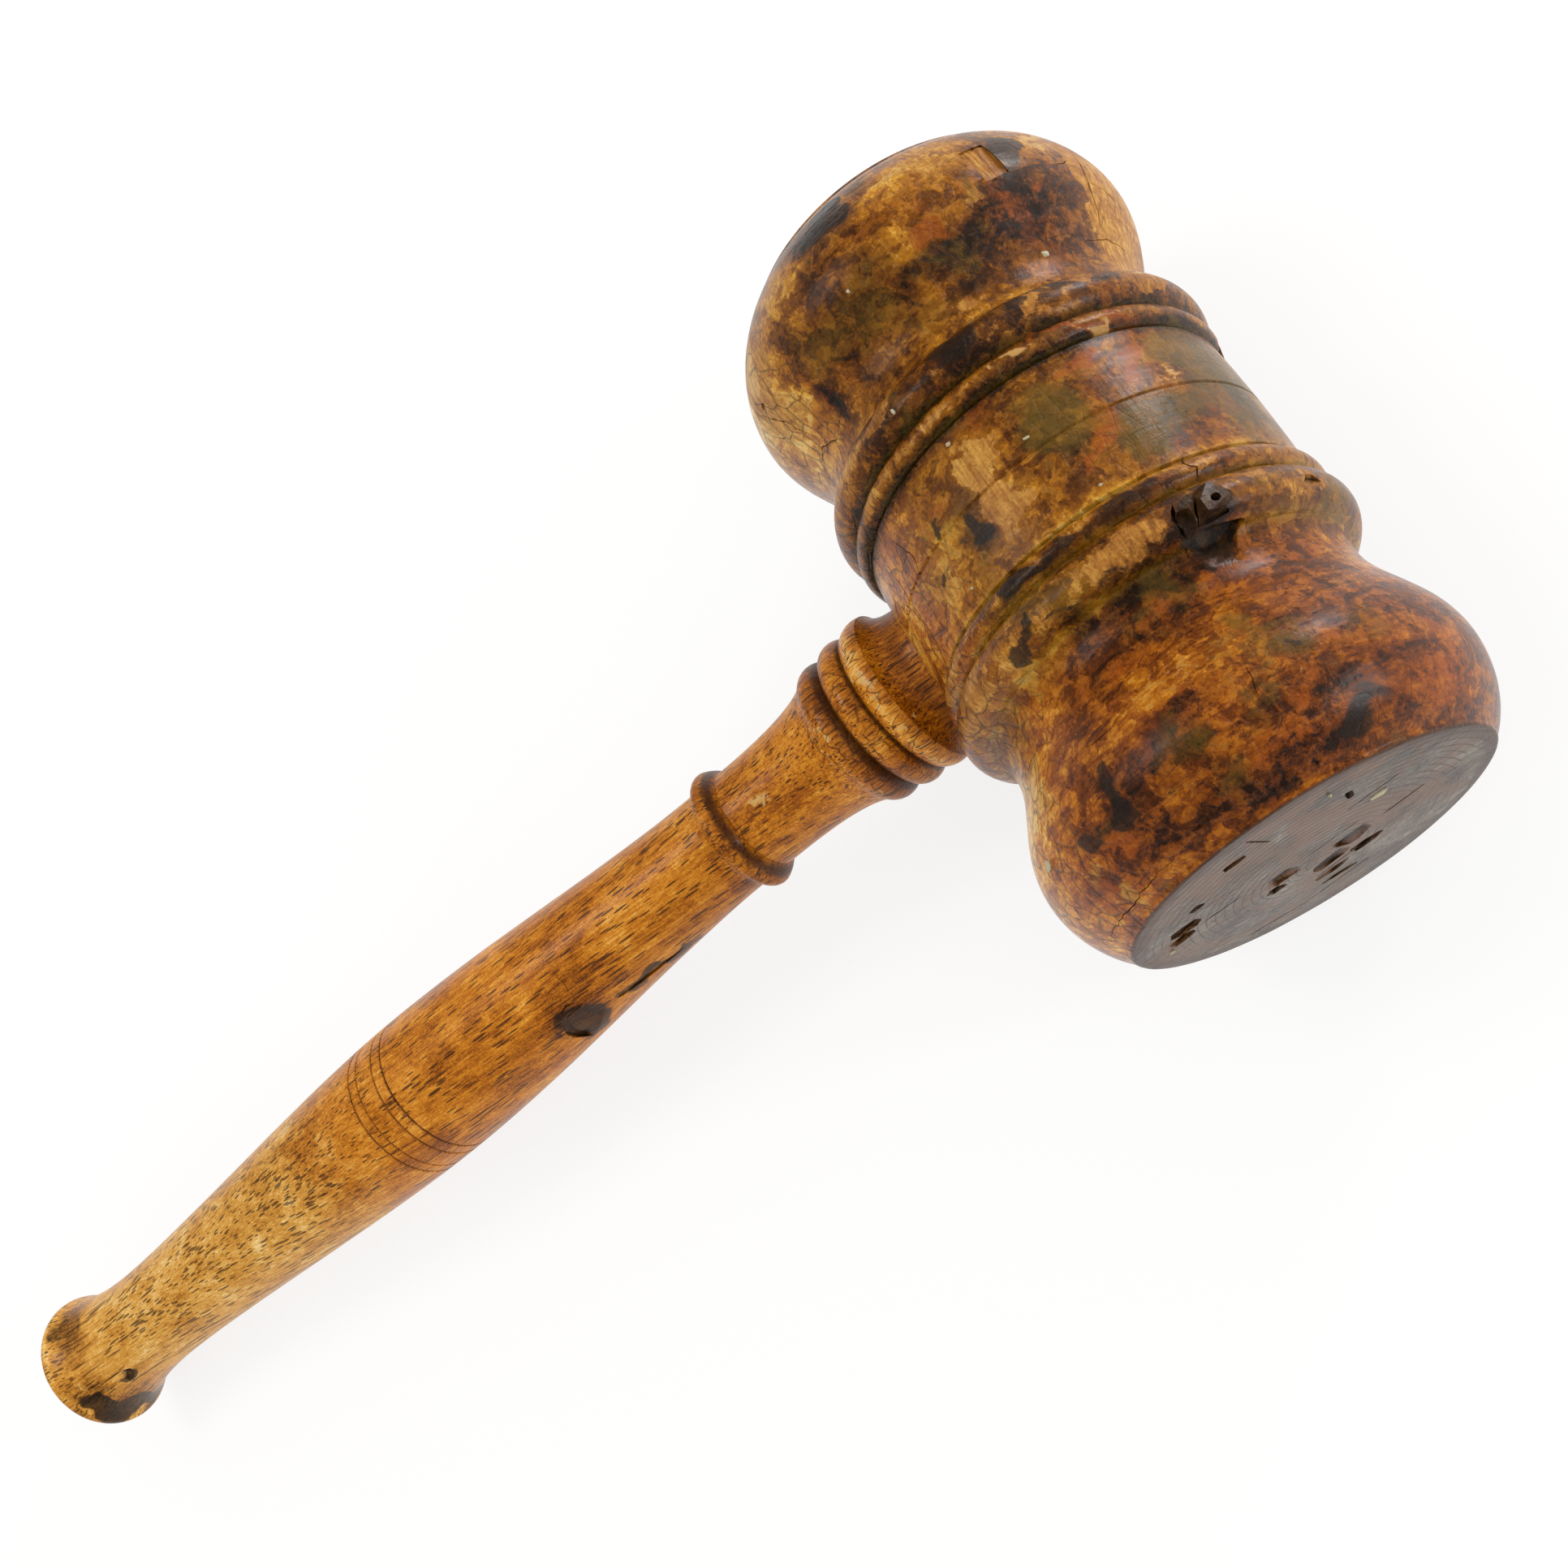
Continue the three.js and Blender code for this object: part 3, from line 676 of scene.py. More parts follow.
def wear(piece, turning):
    """Stores how light, bare, stained, worn pale and grimy each point of the head is, with painted
    shade in the far half's grooves and painted highlights on crests, rims and some pale marks.
    """
    points = points_of(piece)
    along, turn, radius = turning.coordinates(points)
    places = np.abs(along)
    surface = surface_radius(turning, along)
    grooves = np.clip(bands(places, HEAD_GROOVES), 0, 1)
    crest = bands(places, HEAD_CRESTS)
    rim = bands(places, [(67.5, 1.2, 1.0)])
    beads = np.clip((places - 13.8) * 2, 0, 1) * np.clip((27.5 - places) * 2, 0, 1)
    near_bulge = np.clip((along - 28) / 4, 0, 1)
    dent = (np.abs(along + 53.2) < 3.9) & (np.abs(turn + 38.5) < 4.3) & (radius < surface - 0.2)
    # the side towards the handle, whose varnish is redder and more crazed
    left = np.clip((wrap(turn) - 25) / 25, 0, 1) * np.clip((150 - np.abs(turn)) / 20, 0, 1)
    far_side = along < 0
    # painted shade: the grooves of the far half are darker, most beside the band at -13.7; those of the
    # near half are made lighter, and the crests lighter as a painted highlight
    tone = shade_marks(turning, points, TONE, 0.44) + grooves * np.where(far_side, -0.25, 0.26)
    tone += 0.08 * crest - 0.03 * beads - 0.06 * near_bulge * np.clip((35 - turn) / 30, 0, 1)
    tone -= bands(along, [(-13.7, 1.0, 0.4)])
    store(piece, "tone", tone)
    bare = dent + shade_marks(turning, points, BARE, 0.26) - 0.1 * near_bulge
    store(piece, "bare", bare + 0.12 * beads - 0.3 * grooves)
    store(piece, "soot", shade_marks(turning, points, SOOT, 0.05) * ~dent - 0.6 * grooves * (along > 0))
    store(piece, "rust", shade_marks(turning, points, RUST, 0.12))
    # worn pale, and painted highlights on the bead crests, the faces' rims and some of the marks
    store(piece, "rubbed", shade_marks(turning, points, RUBBED_AND_GLINTS, 0.06) + 0.14 * crest + 0.2 * rim)
    olive = shade_marks(turning, points, OLIVE, 0.08) + grooves * np.where(far_side, 0.35, 0.5)
    store(piece, "olive", olive)
    store(piece, "amber", 0.25 + 0.52 * near_bulge + 0.5 * left * (along > -12) + 0.15 * left)
    store(piece, "streaky", 0.15 + 0.75 * near_bulge)
    store(piece, "crazed", 0.25 + 0.75 * left + 0.1 * np.clip((-turn - 45) / 10, 0, 1))
    store(piece, "end", ((places > 68.6) & (radius < 32.9)).astype(float))
    store(piece, "rim_grime", np.clip((radius - 28.2) / 3.4, 0, 1) * (places > 68.3))
    # how far below the turned surface, or below the face, which is inside a chip or crack
    sunk = (surface - radius - 0.3) / 0.3 * (places < 68)
    sunk += (HEAD_HALF_LENGTH / MM - 0.12 - places) / 0.2 * (radius < 31.5) * (places > 66)
    store(piece, "torn", sunk * ~dent)


# ---------------------------------------------------------------- materials


def add(tree, kind, settings=None, inputs=None, out=0):
    """Adds a node with its settings and its input values or links, and returns one of its outputs."""
    made = tree.nodes.new(kind)
    for key, value in (settings or {}).items():
        if key == "stops":
            ramp = made.color_ramp
            while len(ramp.elements) < len(value):
                ramp.elements.new(1.0)
            for element, (position, colour) in zip(ramp.elements, value):
                element.position = position
                element.color = (*colour[:3], 1.0)
        else:
            setattr(made, key, value)
    for key, value in (inputs or {}).items():
        if isinstance(value, bpy.types.NodeSocket):
            tree.links.new(value, made.inputs[key])
        else:
            made.inputs[key].default_value = value
    return made.outputs[out] if made.outputs else None


def new_material(name):
    """An empty node material and its tree."""
    material = bpy.data.materials.new(name)
    material.use_nodes = True
    material.node_tree.nodes.clear()
    return material, material.node_tree


def weighted(tree, *terms):
    """Adds up outputs, each given with its weight, onto the last term, a number or an output."""
    total = terms[-1]
    for value, weight in terms[:-1]:
        total = add(tree, "ShaderNodeMath", {"operation": "MULTIPLY_ADD"},
                    {0: value, 1: weight, 2: total})
    return total


def layer(tree, under, over, amount, low, high, strength=1.0):
    """Lays one colour over another where an amount passes from low to high; also gives the mask."""
    mask = add(tree, "ShaderNodeMapRange", {"interpolation_type": "SMOOTHSTEP"},
               {"Value": amount, "From Min": low, "From Max": high, "To Max": strength})
    colour = add(tree, "ShaderNodeMix", {"data_type": "RGBA"}, {"Factor": mask, 6: under, 7: over}, 2)
    return colour, mask


def read_marks(tree, names):
    """Outputs of the numbers that were stored on the piece's points."""
    return {
        name: add(tree, "ShaderNodeAttribute", {"attribute_name": name}, out="Fac") for name in names
    }


def palette(colours):
    """All finish colours with an alpha, for the nodes."""
    return {key: (*getattr(colours, key), 1.0) for key in Finish.__annotations__}


def shades(*hex_colours):
    """Ramp stops spread evenly from dark to light."""
    return [(i / (len(hex_colours) - 1), linear(colour)) for i, colour in enumerate(hex_colours)]


def varnished_fruitwood(colours, centre):
    """Fruitwood block, stained and varnished long ago: a brown film that has worn through in flakes
    and clouds, honey wood under it, grime in the grooves and weathered grey end grain."""
    material, tree = new_material("Varnished_fruitwood")
    c = palette(colours)
    marks = read_marks(tree, ("tone", "bare", "soot", "rust", "rubbed", "olive", "amber", "streaky",
                              "crazed", "end", "rim_grime", "torn"))
    place = add(tree, "ShaderNodeTexCoord", out="Object")
    p = add(tree, "ShaderNodeMapping", {},
            {"Vector": place, "Location": centre * -TO_MM, "Scale": (TO_MM, TO_MM, TO_MM)})
    # stretched round the lathe axis, so that it reads as turning streaks, and along it, as fibres
    round_p = add(tree, "ShaderNodeMapping", {}, {"Vector": p, "Scale": (0.10, 0.5, 0.10)})
    fibre_p = add(tree, "ShaderNodeMapping", {}, {"Vector": p, "Scale": (1.3, 0.09, 1.3)})
    craze_p = add(tree, "ShaderNodeMapping", {}, {"Vector": p, "Scale": (1.0, 0.5, 1.0)})
    # flat on the faces, for scuffs and scratches that slant across them
    scuff_p = add(tree, "ShaderNodeMapping", {},
                  {"Vector": p, "Rotation": (0, math.radians(8), 0), "Scale": (0.13, 0.0, 1.5)})
    scratch_p = add(tree, "ShaderNodeMapping", {},
                    {"Vector": p, "Rotation": (0, math.radians(-50), 0), "Scale": (0.3, 0.0, 2.4)})
    # each noise by name: its space, its size, detail, roughness and distortion
    noises = {}
    for name, vector, millimetres, detail, roughness, distortion in (
        ("cloud", p, 11, 8.0, 0.62, 0.7), ("drift", p, 19, 6.0, 0.62, 0.4),
        ("streak", round_p, 1, 8.0, 0.66, 1.2), ("flake", p, 4.6, 8.0, 0.64, 0.5),
        ("chip", p, 1.9, 6.0, 0.62, 0.3), ("dust", p, 0.6, 4.0, 0.7, 0.0),
        ("fibre", fibre_p, 1, 5.0, 0.65, 0.0), ("scuff", scuff_p, 1, 8.0, 0.74, 0.6),
        ("scratch", scratch_p, 1, 4.0, 0.62, 0.4), ("warm", p, 15, 6.0, 0.66, 0.4),
    ):
        noises[name] = add(tree, "ShaderNodeTexNoise", {}, {
            "Vector": vector, "Scale": 1 / millimetres, "Detail": detail, "Roughness": roughness,
            "Distortion": distortion})
    crisp = {}
    for name, source, low, high in (("flakes", "flake", 0.47, 0.525), ("chips", "chip", 0.48, 0.54),
                                    ("ring_zone", "warm", 0.38, 0.5), ("tears", "chip", 0.42, 0.62)):
        crisp[name] = add(tree, "ShaderNodeMapRange", {"interpolation_type": "SMOOTHSTEP"},
                          {"Value": noises[source], "From Min": low, "From Max": high})
    cloud, streak, flake, chip = (noises[name] for name in ("cloud", "streak", "flake", "chip"))
    dust, fibre, scuff = (noises[name] for name in ("dust", "fibre", "scuff"))
    drift = add(tree, "ShaderNodeMix", {"data_type": "FLOAT"},
                {"Factor": marks["streaky"], 2: cloud, 3: streak})

    # the film: from thick and dark to thin and golden, in clouds, flakes and crumbs
    depth = weighted(tree, (drift, 0.92), (crisp["flakes"], 0.2), (crisp["chips"], 0.13), (dust, 0.5),
                     (marks["tone"], 1.0), -0.865)
    brown = shades("#211103", "#3f2104", "#5f3706", "#825009", "#a86f17", "#cf9833", "#eac36b")
    amber = shades("#210d02", "#461d02", "#6e3102", "#934a04", "#b66a0c", "#d99529", "#eec067")
    film = add(tree, "ShaderNodeMix", {"data_type": "RGBA"}, {
        "Factor": marks["amber"],
        6: add(tree, "ShaderNodeValToRGB", {"stops": brown}, {"Fac": depth}),
        7: add(tree, "ShaderNodeValToRGB", {"stops": amber}, {"Fac": depth}),
    }, 2)
    # it leans to olive in one place and to orange in the next
    film, _ = layer(tree, film, c["olive"], weighted(tree, (noises["drift"], 1.0), (chip, 0.5), 0.0),
                    0.78, 0.92, 0.4)
    film, _ = layer(tree, film, c["rust"], weighted(tree, (noises["drift"], -1.0), (chip, 0.5), 1.0),
                    0.80, 0.90, 0.25)
    rust = weighted(tree, (marks["rust"], 0.5), (flake, 0.7), (chip, 0.35), (dust, 0.25), 0.0)
    skin, _ = layer(tree, film, c["rust"], rust, 0.87, 0.97, 0.55)

    # bare wood where the film has flaked off, with its fibres, and crumbs of film left on it
    wood = weighted(tree, (fibre, 1.3), (cloud, 0.9), (dust, 0.6), (crisp["chips"], 0.12),
                    (marks["tone"], 0.4), -1.22)
    bare = add(tree, "ShaderNodeValToRGB", {"stops": shades(
        "#5d350b", "#8b5417", "#ad7228", "#c8953f", "#dfb360")}, {"Fac": wood})
    crumbs = weighted(tree, (chip, 0.7), (dust, 0.5), (flake, 0.3), (marks["bare"], -0.2), 0.05)
    bare, _ = layer(tree, bare, film, crumbs, 0.80, 0.84, 0.75)
    gone = weighted(tree, (marks["bare"], 0.5), (flake, 0.55), (chip, 0.35), (cloud, 0.25), 0.0)
    skin, bare_mask = layer(tree, skin, bare, gone, 0.79, 0.815)

    # grime, stains and pale places, worn and in part painted highlights, over both, and fine craze
    # lines
    grime = weighted(tree, (marks["olive"], 0.6), (cloud, 0.5), (dust, 0.5), 0.0)
    skin, _ = layer(tree, skin, c["olive"], grime, 0.60, 0.95, 0.62)
    stain = weighted(tree, (marks["soot"], 0.5), (chip, 0.5), (flake, 0.6), (dust, 0.2), 0.0)
    skin, _ = layer(tree, skin, c["soot"], stain, 0.90, 1.02, 0.85)
    # pale where worn, and painted highlights on the crests, the faces' rims and the far inner bead
    polish_and_glint = weighted(tree, (marks["rubbed"], 0.5), (chip, 0.5), (flake, 0.4), 0.0)
    skin, _ = layer(tree, skin, c["rubbed"], polish_and_glint, 0.70, 0.75, 0.6)
    specks = weighted(tree, (dust, 0.6), (chip, 0.4), 0.0)
    skin, _ = layer(tree, skin, c["soot"], specks, 0.58, 0.68, 0.65)
    craze = add(tree, "ShaderNodeTexVoronoi", {"feature": "DISTANCE_TO_EDGE"},
                {"Vector": craze_p, "Scale": 1 / 3.6, "Detail": 1.0, "Randomness": 1.0})
    craze_line = add(tree, "ShaderNodeMapRange", {},
                     {"Value": craze, "From Min": 0.0, "From Max": 0.045, "To Min": 1.0, "To Max": 0.0})
    craze_here = add(tree, "ShaderNodeMath", {"operation": "MULTIPLY"},
                     {0: craze_line, 1: weighted(tree, (marks["crazed"], 1.0), (flake, 1.0), -0.42)})
    skin, _ = layer(tree, skin, c["soot"], craze_here, 0.1, 0.8, 0.5)

    # end grain of the striking faces: growth rings about the pith, crossed by scratches
    ring_p = add(tree, "ShaderNodeMapping", {},
                 {"Vector": p, "Location": (-0.5, 0.0, 5.0), "Scale": (1.0, 0.0, 1.0)})
    rings = add(tree, "ShaderNodeTexWave",
                {"wave_type": "RINGS", "rings_direction": "SPHERICAL", "wave_profile": "SAW"},
                {"Vector": ring_p, "Scale": 0.19, "Distortion": 3.0, "Detail": 3.0,
                 "Detail Scale": 0.3})
    line = add(tree, "ShaderNodeMapRange", {}, {"Value": rings, "From Min": 0.78, "From Max": 0.94})
    ring_share = add(tree, "ShaderNodeMath", {"operation": "MULTIPLY"},
                     {0: line, 1: crisp["ring_zone"]})
    end_depth = weighted(tree, (ring_share, -1.2), (scuff, 1.9), (noises["scratch"], 0.7),
                         (cloud, 1.6), (dust, 1.0), -2.2)
    end_wood = add(tree, "ShaderNodeValToRGB", {"stops": shades(
        "#24180d", "#423224", "#5d4f41", "#756a5d", "#8f8578", "#ada398")}, {"Fac": end_depth})
    warmth = weighted(tree, (scuff, 0.3), noises["warm"])
    end_wood, _ = layer(tree, end_wood, c["end_warm"], warmth, 0.56, 0.70, 0.75)
    dirt = weighted(tree, (marks["rim_grime"], 0.6), (flake, 1.0), 0.0)
    end_wood, _ = layer(tree, end_wood, c["pore"], dirt, 0.66, 1.0, 0.7)
    skin = add(tree, "ShaderNodeMix", {"data_type": "RGBA"},
               {"Factor": marks["end"], 6: skin, 7: end_wood}, 2)

    # torn wood inside chips and cracks
    torn = add(tree, "ShaderNodeMix", {"data_type": "RGBA"},
               {"Factor": crisp["tears"], 6: c["soot"], 7: c["torn"]}, 2)
    skin = add(tree, "ShaderNodeMix", {"data_type": "RGBA"},
               {"Factor": marks["torn"], 6: skin, 7: torn}, 2)

    # varnish shines, bare wood and end grain are dull, and torn wood lies between
    rough = add(tree, "ShaderNodeMapRange", {}, {
        "Value": weighted(tree, (chip, 0.5), (dust, 0.5), 0.0), "From Min": 0.4, "From Max": 0.6,
        "To Min": 0.12, "To Max": 0.3})
    for where, roughness in ((bare_mask, 0.46), (marks["end"], 0.42), (marks["torn"], 0.3)):
        rough = add(tree, "ShaderNodeMix", {"data_type": "FLOAT"},
                    {"Factor": where, 2: rough, 3: roughness})
    height = weighted(tree, (bare_mask, -0.5), (crisp["flakes"], 0.25), (chip, 0.6), (fibre, 0.5),
                      (ring_share, -0.5), (craze_here, -0.8), (streak, 1.5), (scuff, 0.5), 0.0)
    bump = add(tree, "ShaderNodeBump", {}, {"Height": height, "Strength": 0.7, "Distance": 0.42 * MM})
    # the varnish has levelled most of that, and keeps the turning streaks
    ripples = weighted(tree, (streak, 1.2), (chip, 0.35), fibre)
    ripple = add(tree, "ShaderNodeBump", {},
                 {"Height": ripples, "Strength": 0.3, "Distance": 0.25 * MM})
    shader = add(tree, "ShaderNodeBsdfPrincipled", {}, {
        "Base Color": skin, "Roughness": rough, "Normal": bump, "IOR": 1.5, "Specular IOR Level": 0.16,
        "Coat Weight": 0.24, "Coat Roughness": 0.1, "Coat Normal": ripple})
    add(tree, "ShaderNodeOutputMaterial", {}, {"Surface": shader})
    return material


def varnished_beech(colours, centre, tilt):
    """Beech stick under thin old varnish: honey wood with short dark flecks and, nearer the butt,
    longer dark pores running along it, paler where hands have worn it."""
    material, tree = new_material("Varnished_beech")
    c = palette(colours)
    marks = read_marks(tree, ("pale", "soot", "rust", "rubbed", "grime", "shade", "crazed", "torn"))
    place = add(tree, "ShaderNodeTexCoord", out="Object")
    p = add(tree, "ShaderNodeMapping", {},
            {"Vector": place, "Location": centre * -TO_MM, "Scale": (TO_MM, TO_MM, TO_MM)})
    # turned so that x runs along the handle, then stretched that way
    along_p = add(tree, "ShaderNodeMapping", {}, {"Vector": p, "Rotation": (0, tilt, 0)})
    noises = {}
    for name, stretch, detail, roughness, distortion in (
        ("figure", (0.025, 0.4, 0.4), 6.0, 0.6, 0.8), ("hair", (0.12, 2.6, 2.6), 3.0, 0.6, 0.0),
        ("cloud", (1 / 12,) * 3, 8.0, 0.64, 0.6), ("chip", (1 / 1.8,) * 3, 6.0, 0.62, 0.0),
        ("dust", (1 / 0.5,) * 3, 4.0, 0.7, 0.0), ("wobble", (0.05, 0.3, 0.3), 2.0, 0.5, 0.0),
    ):
        stretched = add(tree, "ShaderNodeMapping", {}, {"Vector": along_p, "Scale": stretch})
        noises[name] = add(tree, "ShaderNodeTexNoise", {}, {
            "Vector": stretched, "Scale": 1.0, "Detail": detail, "Roughness": roughness,
            "Distortion": distortion})
    cloud, chip, dust = noises["cloud"], noises["chip"], noises["dust"]
    # each pore is a slim ellipsoid of its own cell: short flecks, and long lines nearer the butt
    pores = {}
    for name, stretch in (("fleck", (0.12, 1.4, 1.4)), ("line", (0.045, 1.3, 1.3))):
        stretched = add(tree, "ShaderNodeMapping", {}, {"Vector": along_p, "Scale": stretch})
        pores[name] = add(tree, "ShaderNodeTexVoronoi", {}, {"Vector": stretched, "Scale": 1.0})

    depth = weighted(tree, (noises["figure"], 0.8), (cloud, 1.0), (noises["hair"], 1.0), (dust, 0.9),
                     (chip, 0.3), (marks["shade"], 1.0), -1.895)
    honey = add(tree, "ShaderNodeValToRGB", {"stops": shades(
        "#341601", "#5f2e02", "#884804", "#a85f09", "#c27611", "#d38c28", "#e3aa52")}, {"Fac": depth})
    pale = add(tree, "ShaderNodeValToRGB", {"stops": shades(
        "#43250a", "#744711", "#9d651b", "#bc7e28", "#cf943a", "#ddaa55", "#ecc987")}, {"Fac": depth})
    worn = weighted(tree, (marks["pale"], 0.7), (cloud, 0.6), 0.0)
    skin, _ = layer(tree, honey, pale, worn, 0.55, 0.95)
    rust = weighted(tree, (marks["rust"], 0.6), (cloud, 0.5), (chip, 0.3), 0.0)
    skin, _ = layer(tree, skin, c["rust"], rust, 0.66, 0.92, 0.45)
    short = weighted(tree, (pores["fleck"], -1.0), (marks["pale"], -0.10), (noises["wobble"], 0.5),
                     (dust, 0.08), 0.02)
    skin, short_mask = layer(tree, skin, c["pore"], short, 0.03, 0.06, 0.85)
    long = weighted(tree, (pores["line"], -1.0), (marks["pale"], 0.26), (noises["wobble"], 0.5),
                    (dust, 0.05), 0.035)
    skin, long_mask = layer(tree, skin, c["pore"], long, 0.23, 0.26, 0.75)
    grime = weighted(tree, (marks["grime"], 0.65), (chip, 0.4), (dust, 0.3), 0.0)
    skin, _ = layer(tree, skin, c["grime"], grime, 0.52, 1.0, 0.85)
    # stains, and painted shade in the small hole by the knob
    stain = weighted(tree, (marks["soot"], 0.5), (chip, 0.5), (cloud, 0.3), (dust, 0.2), 0.0)
    skin, _ = layer(tree, skin, c["soot"], stain, 0.72, 0.92, 0.85)
    # pale where worn, and painted highlights on the crests
    polish_and_glint = weighted(tree, (marks["rubbed"], 0.5), (chip, 0.6), (dust, 0.2), 0.0)
    skin, _ = layer(tree, skin, c["rubbed"], polish_and_glint, 0.66, 0.72, 0.75)
    # the varnish on the beads is crazed across their crests
    craze_p = add(tree, "ShaderNodeMapping", {}, {"Vector": along_p, "Scale": (0.12, 0.45, 0.45)})
    craze = add(tree, "ShaderNodeTexVoronoi", {"feature": "DISTANCE_TO_EDGE"},
                {"Vector": craze_p, "Scale": 1.0})
    line = add(tree, "ShaderNodeMapRange", {},
               {"Value": craze, "From Min": 0.0, "From Max": 0.05, "To Min": 1.0, "To Max": 0.0})
    line = add(tree, "ShaderNodeMath", {"operation": "MULTIPLY"}, {0: line, 1: marks["crazed"]})
    skin, _ = layer(tree, skin, c["grime"], line, 0.1, 0.8, 0.6)
    torn = add(tree, "ShaderNodeMix", {"data_type": "RGBA"},
               {"Factor": chip, 6: c["soot"], 7: c["torn"]}, 2)
    skin = add(tree, "ShaderNodeMix", {"data_type": "RGBA"},
               {"Factor": marks["torn"], 6: skin, 7: torn}, 2)

    rough = add(tree, "ShaderNodeMapRange", {},
                {"Value": cloud, "From Min": 0.35, "From Max": 0.65, "To Min": 0.3, "To Max": 0.46})
    height = weighted(tree, (short_mask, -0.6), (long_mask, -0.6), (chip, 0.4), (line, -0.6),
                      noises["figure"])
    bump = add(tree, "ShaderNodeBump", {}, {"Height": height, "Strength": 0.5, "Distance": 0.2 * MM})
    shader = add(tree, "ShaderNodeBsdfPrincipled", {}, {
        "Base Color": skin, "Roughness": rough, "Normal": bump, "IOR": 1.5, "Specular IOR Level": 0.18,
        "Coat Weight": 0.12, "Coat Roughness": 0.16})
    add(tree, "ShaderNodeOutputMaterial", {}, {"Surface": shader})
    return material


def old_paint(colours):
    """Spatter of oil paint, chalky and matt."""
    material, tree = new_material("Old_oil_paint")
    place = add(tree, "ShaderNodeTexCoord", out="Object")
    dust = add(tree, "ShaderNodeTexNoise", {},
               {"Vector": place, "Scale": 1 / (0.4 * MM), "Detail": 3.0})
    colour = add(tree, "ShaderNodeMix", {"data_type": "RGBA"}, {
        "Factor": dust, 6: (*linear("#a3997c"), 1.0), 7: (*colours.paint, 1.0)}, 2)
    shader = add(tree, "ShaderNodeBsdfPrincipled", {}, {"Base Color": colour, "Roughness": 0.6})
    add(tree, "ShaderNodeOutputMaterial", {}, {"Surface": shader})
    return material


def floor_paper(colours):
    """Seamless white paper, lit from below as on a light table, so that shadows stay faint."""
    material, tree = new_material("Seamless_paper")
    paper = add(tree, "ShaderNodeBsdfPrincipled", {}, {
        "Base Color": (*colours.floor, 1.0), "Roughness": 0.9, "Specular IOR Level": 0.2})
    glow = add(tree, "ShaderNodeEmission", {}, {"Color": WHITE, "Strength": 1.0})
    seen = add(tree, "ShaderNodeLightPath", out="Is Camera Ray")
    mirrored = add(tree, "ShaderNodeLightPath", out="Is Glossy Ray")
    either = add(tree, "ShaderNodeMath", {"operation": "ADD"}, {0: seen, 1: mirrored})
    share = add(tree, "ShaderNodeMath", {"operation": "MULTIPLY"}, {0: either, 1: 0.8})
    shader = add(tree, "ShaderNodeMixShader", {}, {0: share, 1: paper, 2: glow})
    add(tree, "ShaderNodeOutputMaterial", {}, {"Surface": shader})
    return material


# ---------------------------------------------------------------- operators


def sizes():
    """The scene's size and colour groups."""
    scene = bpy.context.scene
    return scene.mallet_head, scene.mallet_handle, scene.mallet_finish, scene.mallet_studio


def handle_tilt(head, handle):
    """How far the handle droops so that the knob lies on the same plane as the bulges."""
    knob_at = head.band_radius + handle.reach - handle.knob_to_butt
    reach = math.hypot(knob_at, handle.knob_radius)
    return math.asin(BULGE_RADIUS / reach) - math.atan2(handle.knob_radius, knob_at)


def on_face(x, z):
    """A place on the near striking face, some millimetres right of its middle and above it."""
    return HEAD_CENTRE + NEAR * HEAD_HALF_LENGTH + Vector((x, 0, z)) * MM


def knock_out(piece, turning, rows, chops=12):
    """Cuts faceted stones out of a turned piece, or grows them on."""
    for seed, along, turn, lift, half_sizes, operation in rows:
        place = turning.place(along, turn, lift)
        tool = lay(stone(seed, chops), place, turning.axis, turning.out(turn), half_sizes)
        carve(piece, tool, operation)


class MALLET_OT_head(bpy.types.Operator):
    """Turn the head block, bore it and wear it"""

    bl_idname = "mallet.head"
    bl_label = "Head"

    def execute(self, context):
        head, handle, finish, _ = sizes()
        outline = head_outline(head)
        turning = Turning(HEAD_CENTRE, NEAR, UP, Vector((-1, 0, 0)), outline)
        piece = turned("head_block", outline, HEAD_CENTRE, NEAR, UP, HEAD_SIDES)
        uneven(piece, 22, 0.25, "hand_turning")
        tilt = handle_tilt(head, handle)
        along = Vector((-math.cos(tilt), 0, -math.sin(tilt)))
        bore_radius = handle.tenon_radius + handle.bore_clearance
        bore_start = head.band_radius - handle.tenon_depth - handle.bore_clearance
        bore_length = handle.tenon_depth + handle.bore_clearance + 6 * MM
        clear_selection()
        bpy.ops.mesh.primitive_cylinder_add(vertices=BORE_SIDES, radius=bore_radius, depth=bore_length)
        bore = bpy.context.object
        bore.rotation_mode = "QUATERNION"
        bore.rotation_quaternion = along.to_track_quat("Z", "Y")
        bore.location = HEAD_CENTRE + along * (bore_start + bore_length / 2)
        bpy.ops.object.transform_apply(location=True, rotation=True, scale=True)
        carve(piece, bore)
        knock_out(piece, turning, HEAD_STONES)
        carve(piece, dent_cutter(turning))
        for seed, (path, width, depth) in enumerate(CRACKS):
            carve(piece, crack_cutter(turning, path, width, depth, seed))
        for seed, (x, z, half_length, half_width, slant) in enumerate(FACE_GOUGES, 40):
            slope = math.radians(slant)
            first = Vector((math.cos(slope), 0, math.sin(slope)))
            carve(piece, lay(stone(seed), on_face(x, z), first, NEAR, (half_length, half_width, 0.7)))
        only(piece)
        bpy.ops.object.shade_smooth_by_angle(angle=HEAD_CREASE)
        wear(piece, turning)
        piece.data.materials.clear()
        piece.data.materials.append(varnished_fruitwood(finish, HEAD_CENTRE))
        finish_piece(piece, "head")
        return {"FINISHED"}


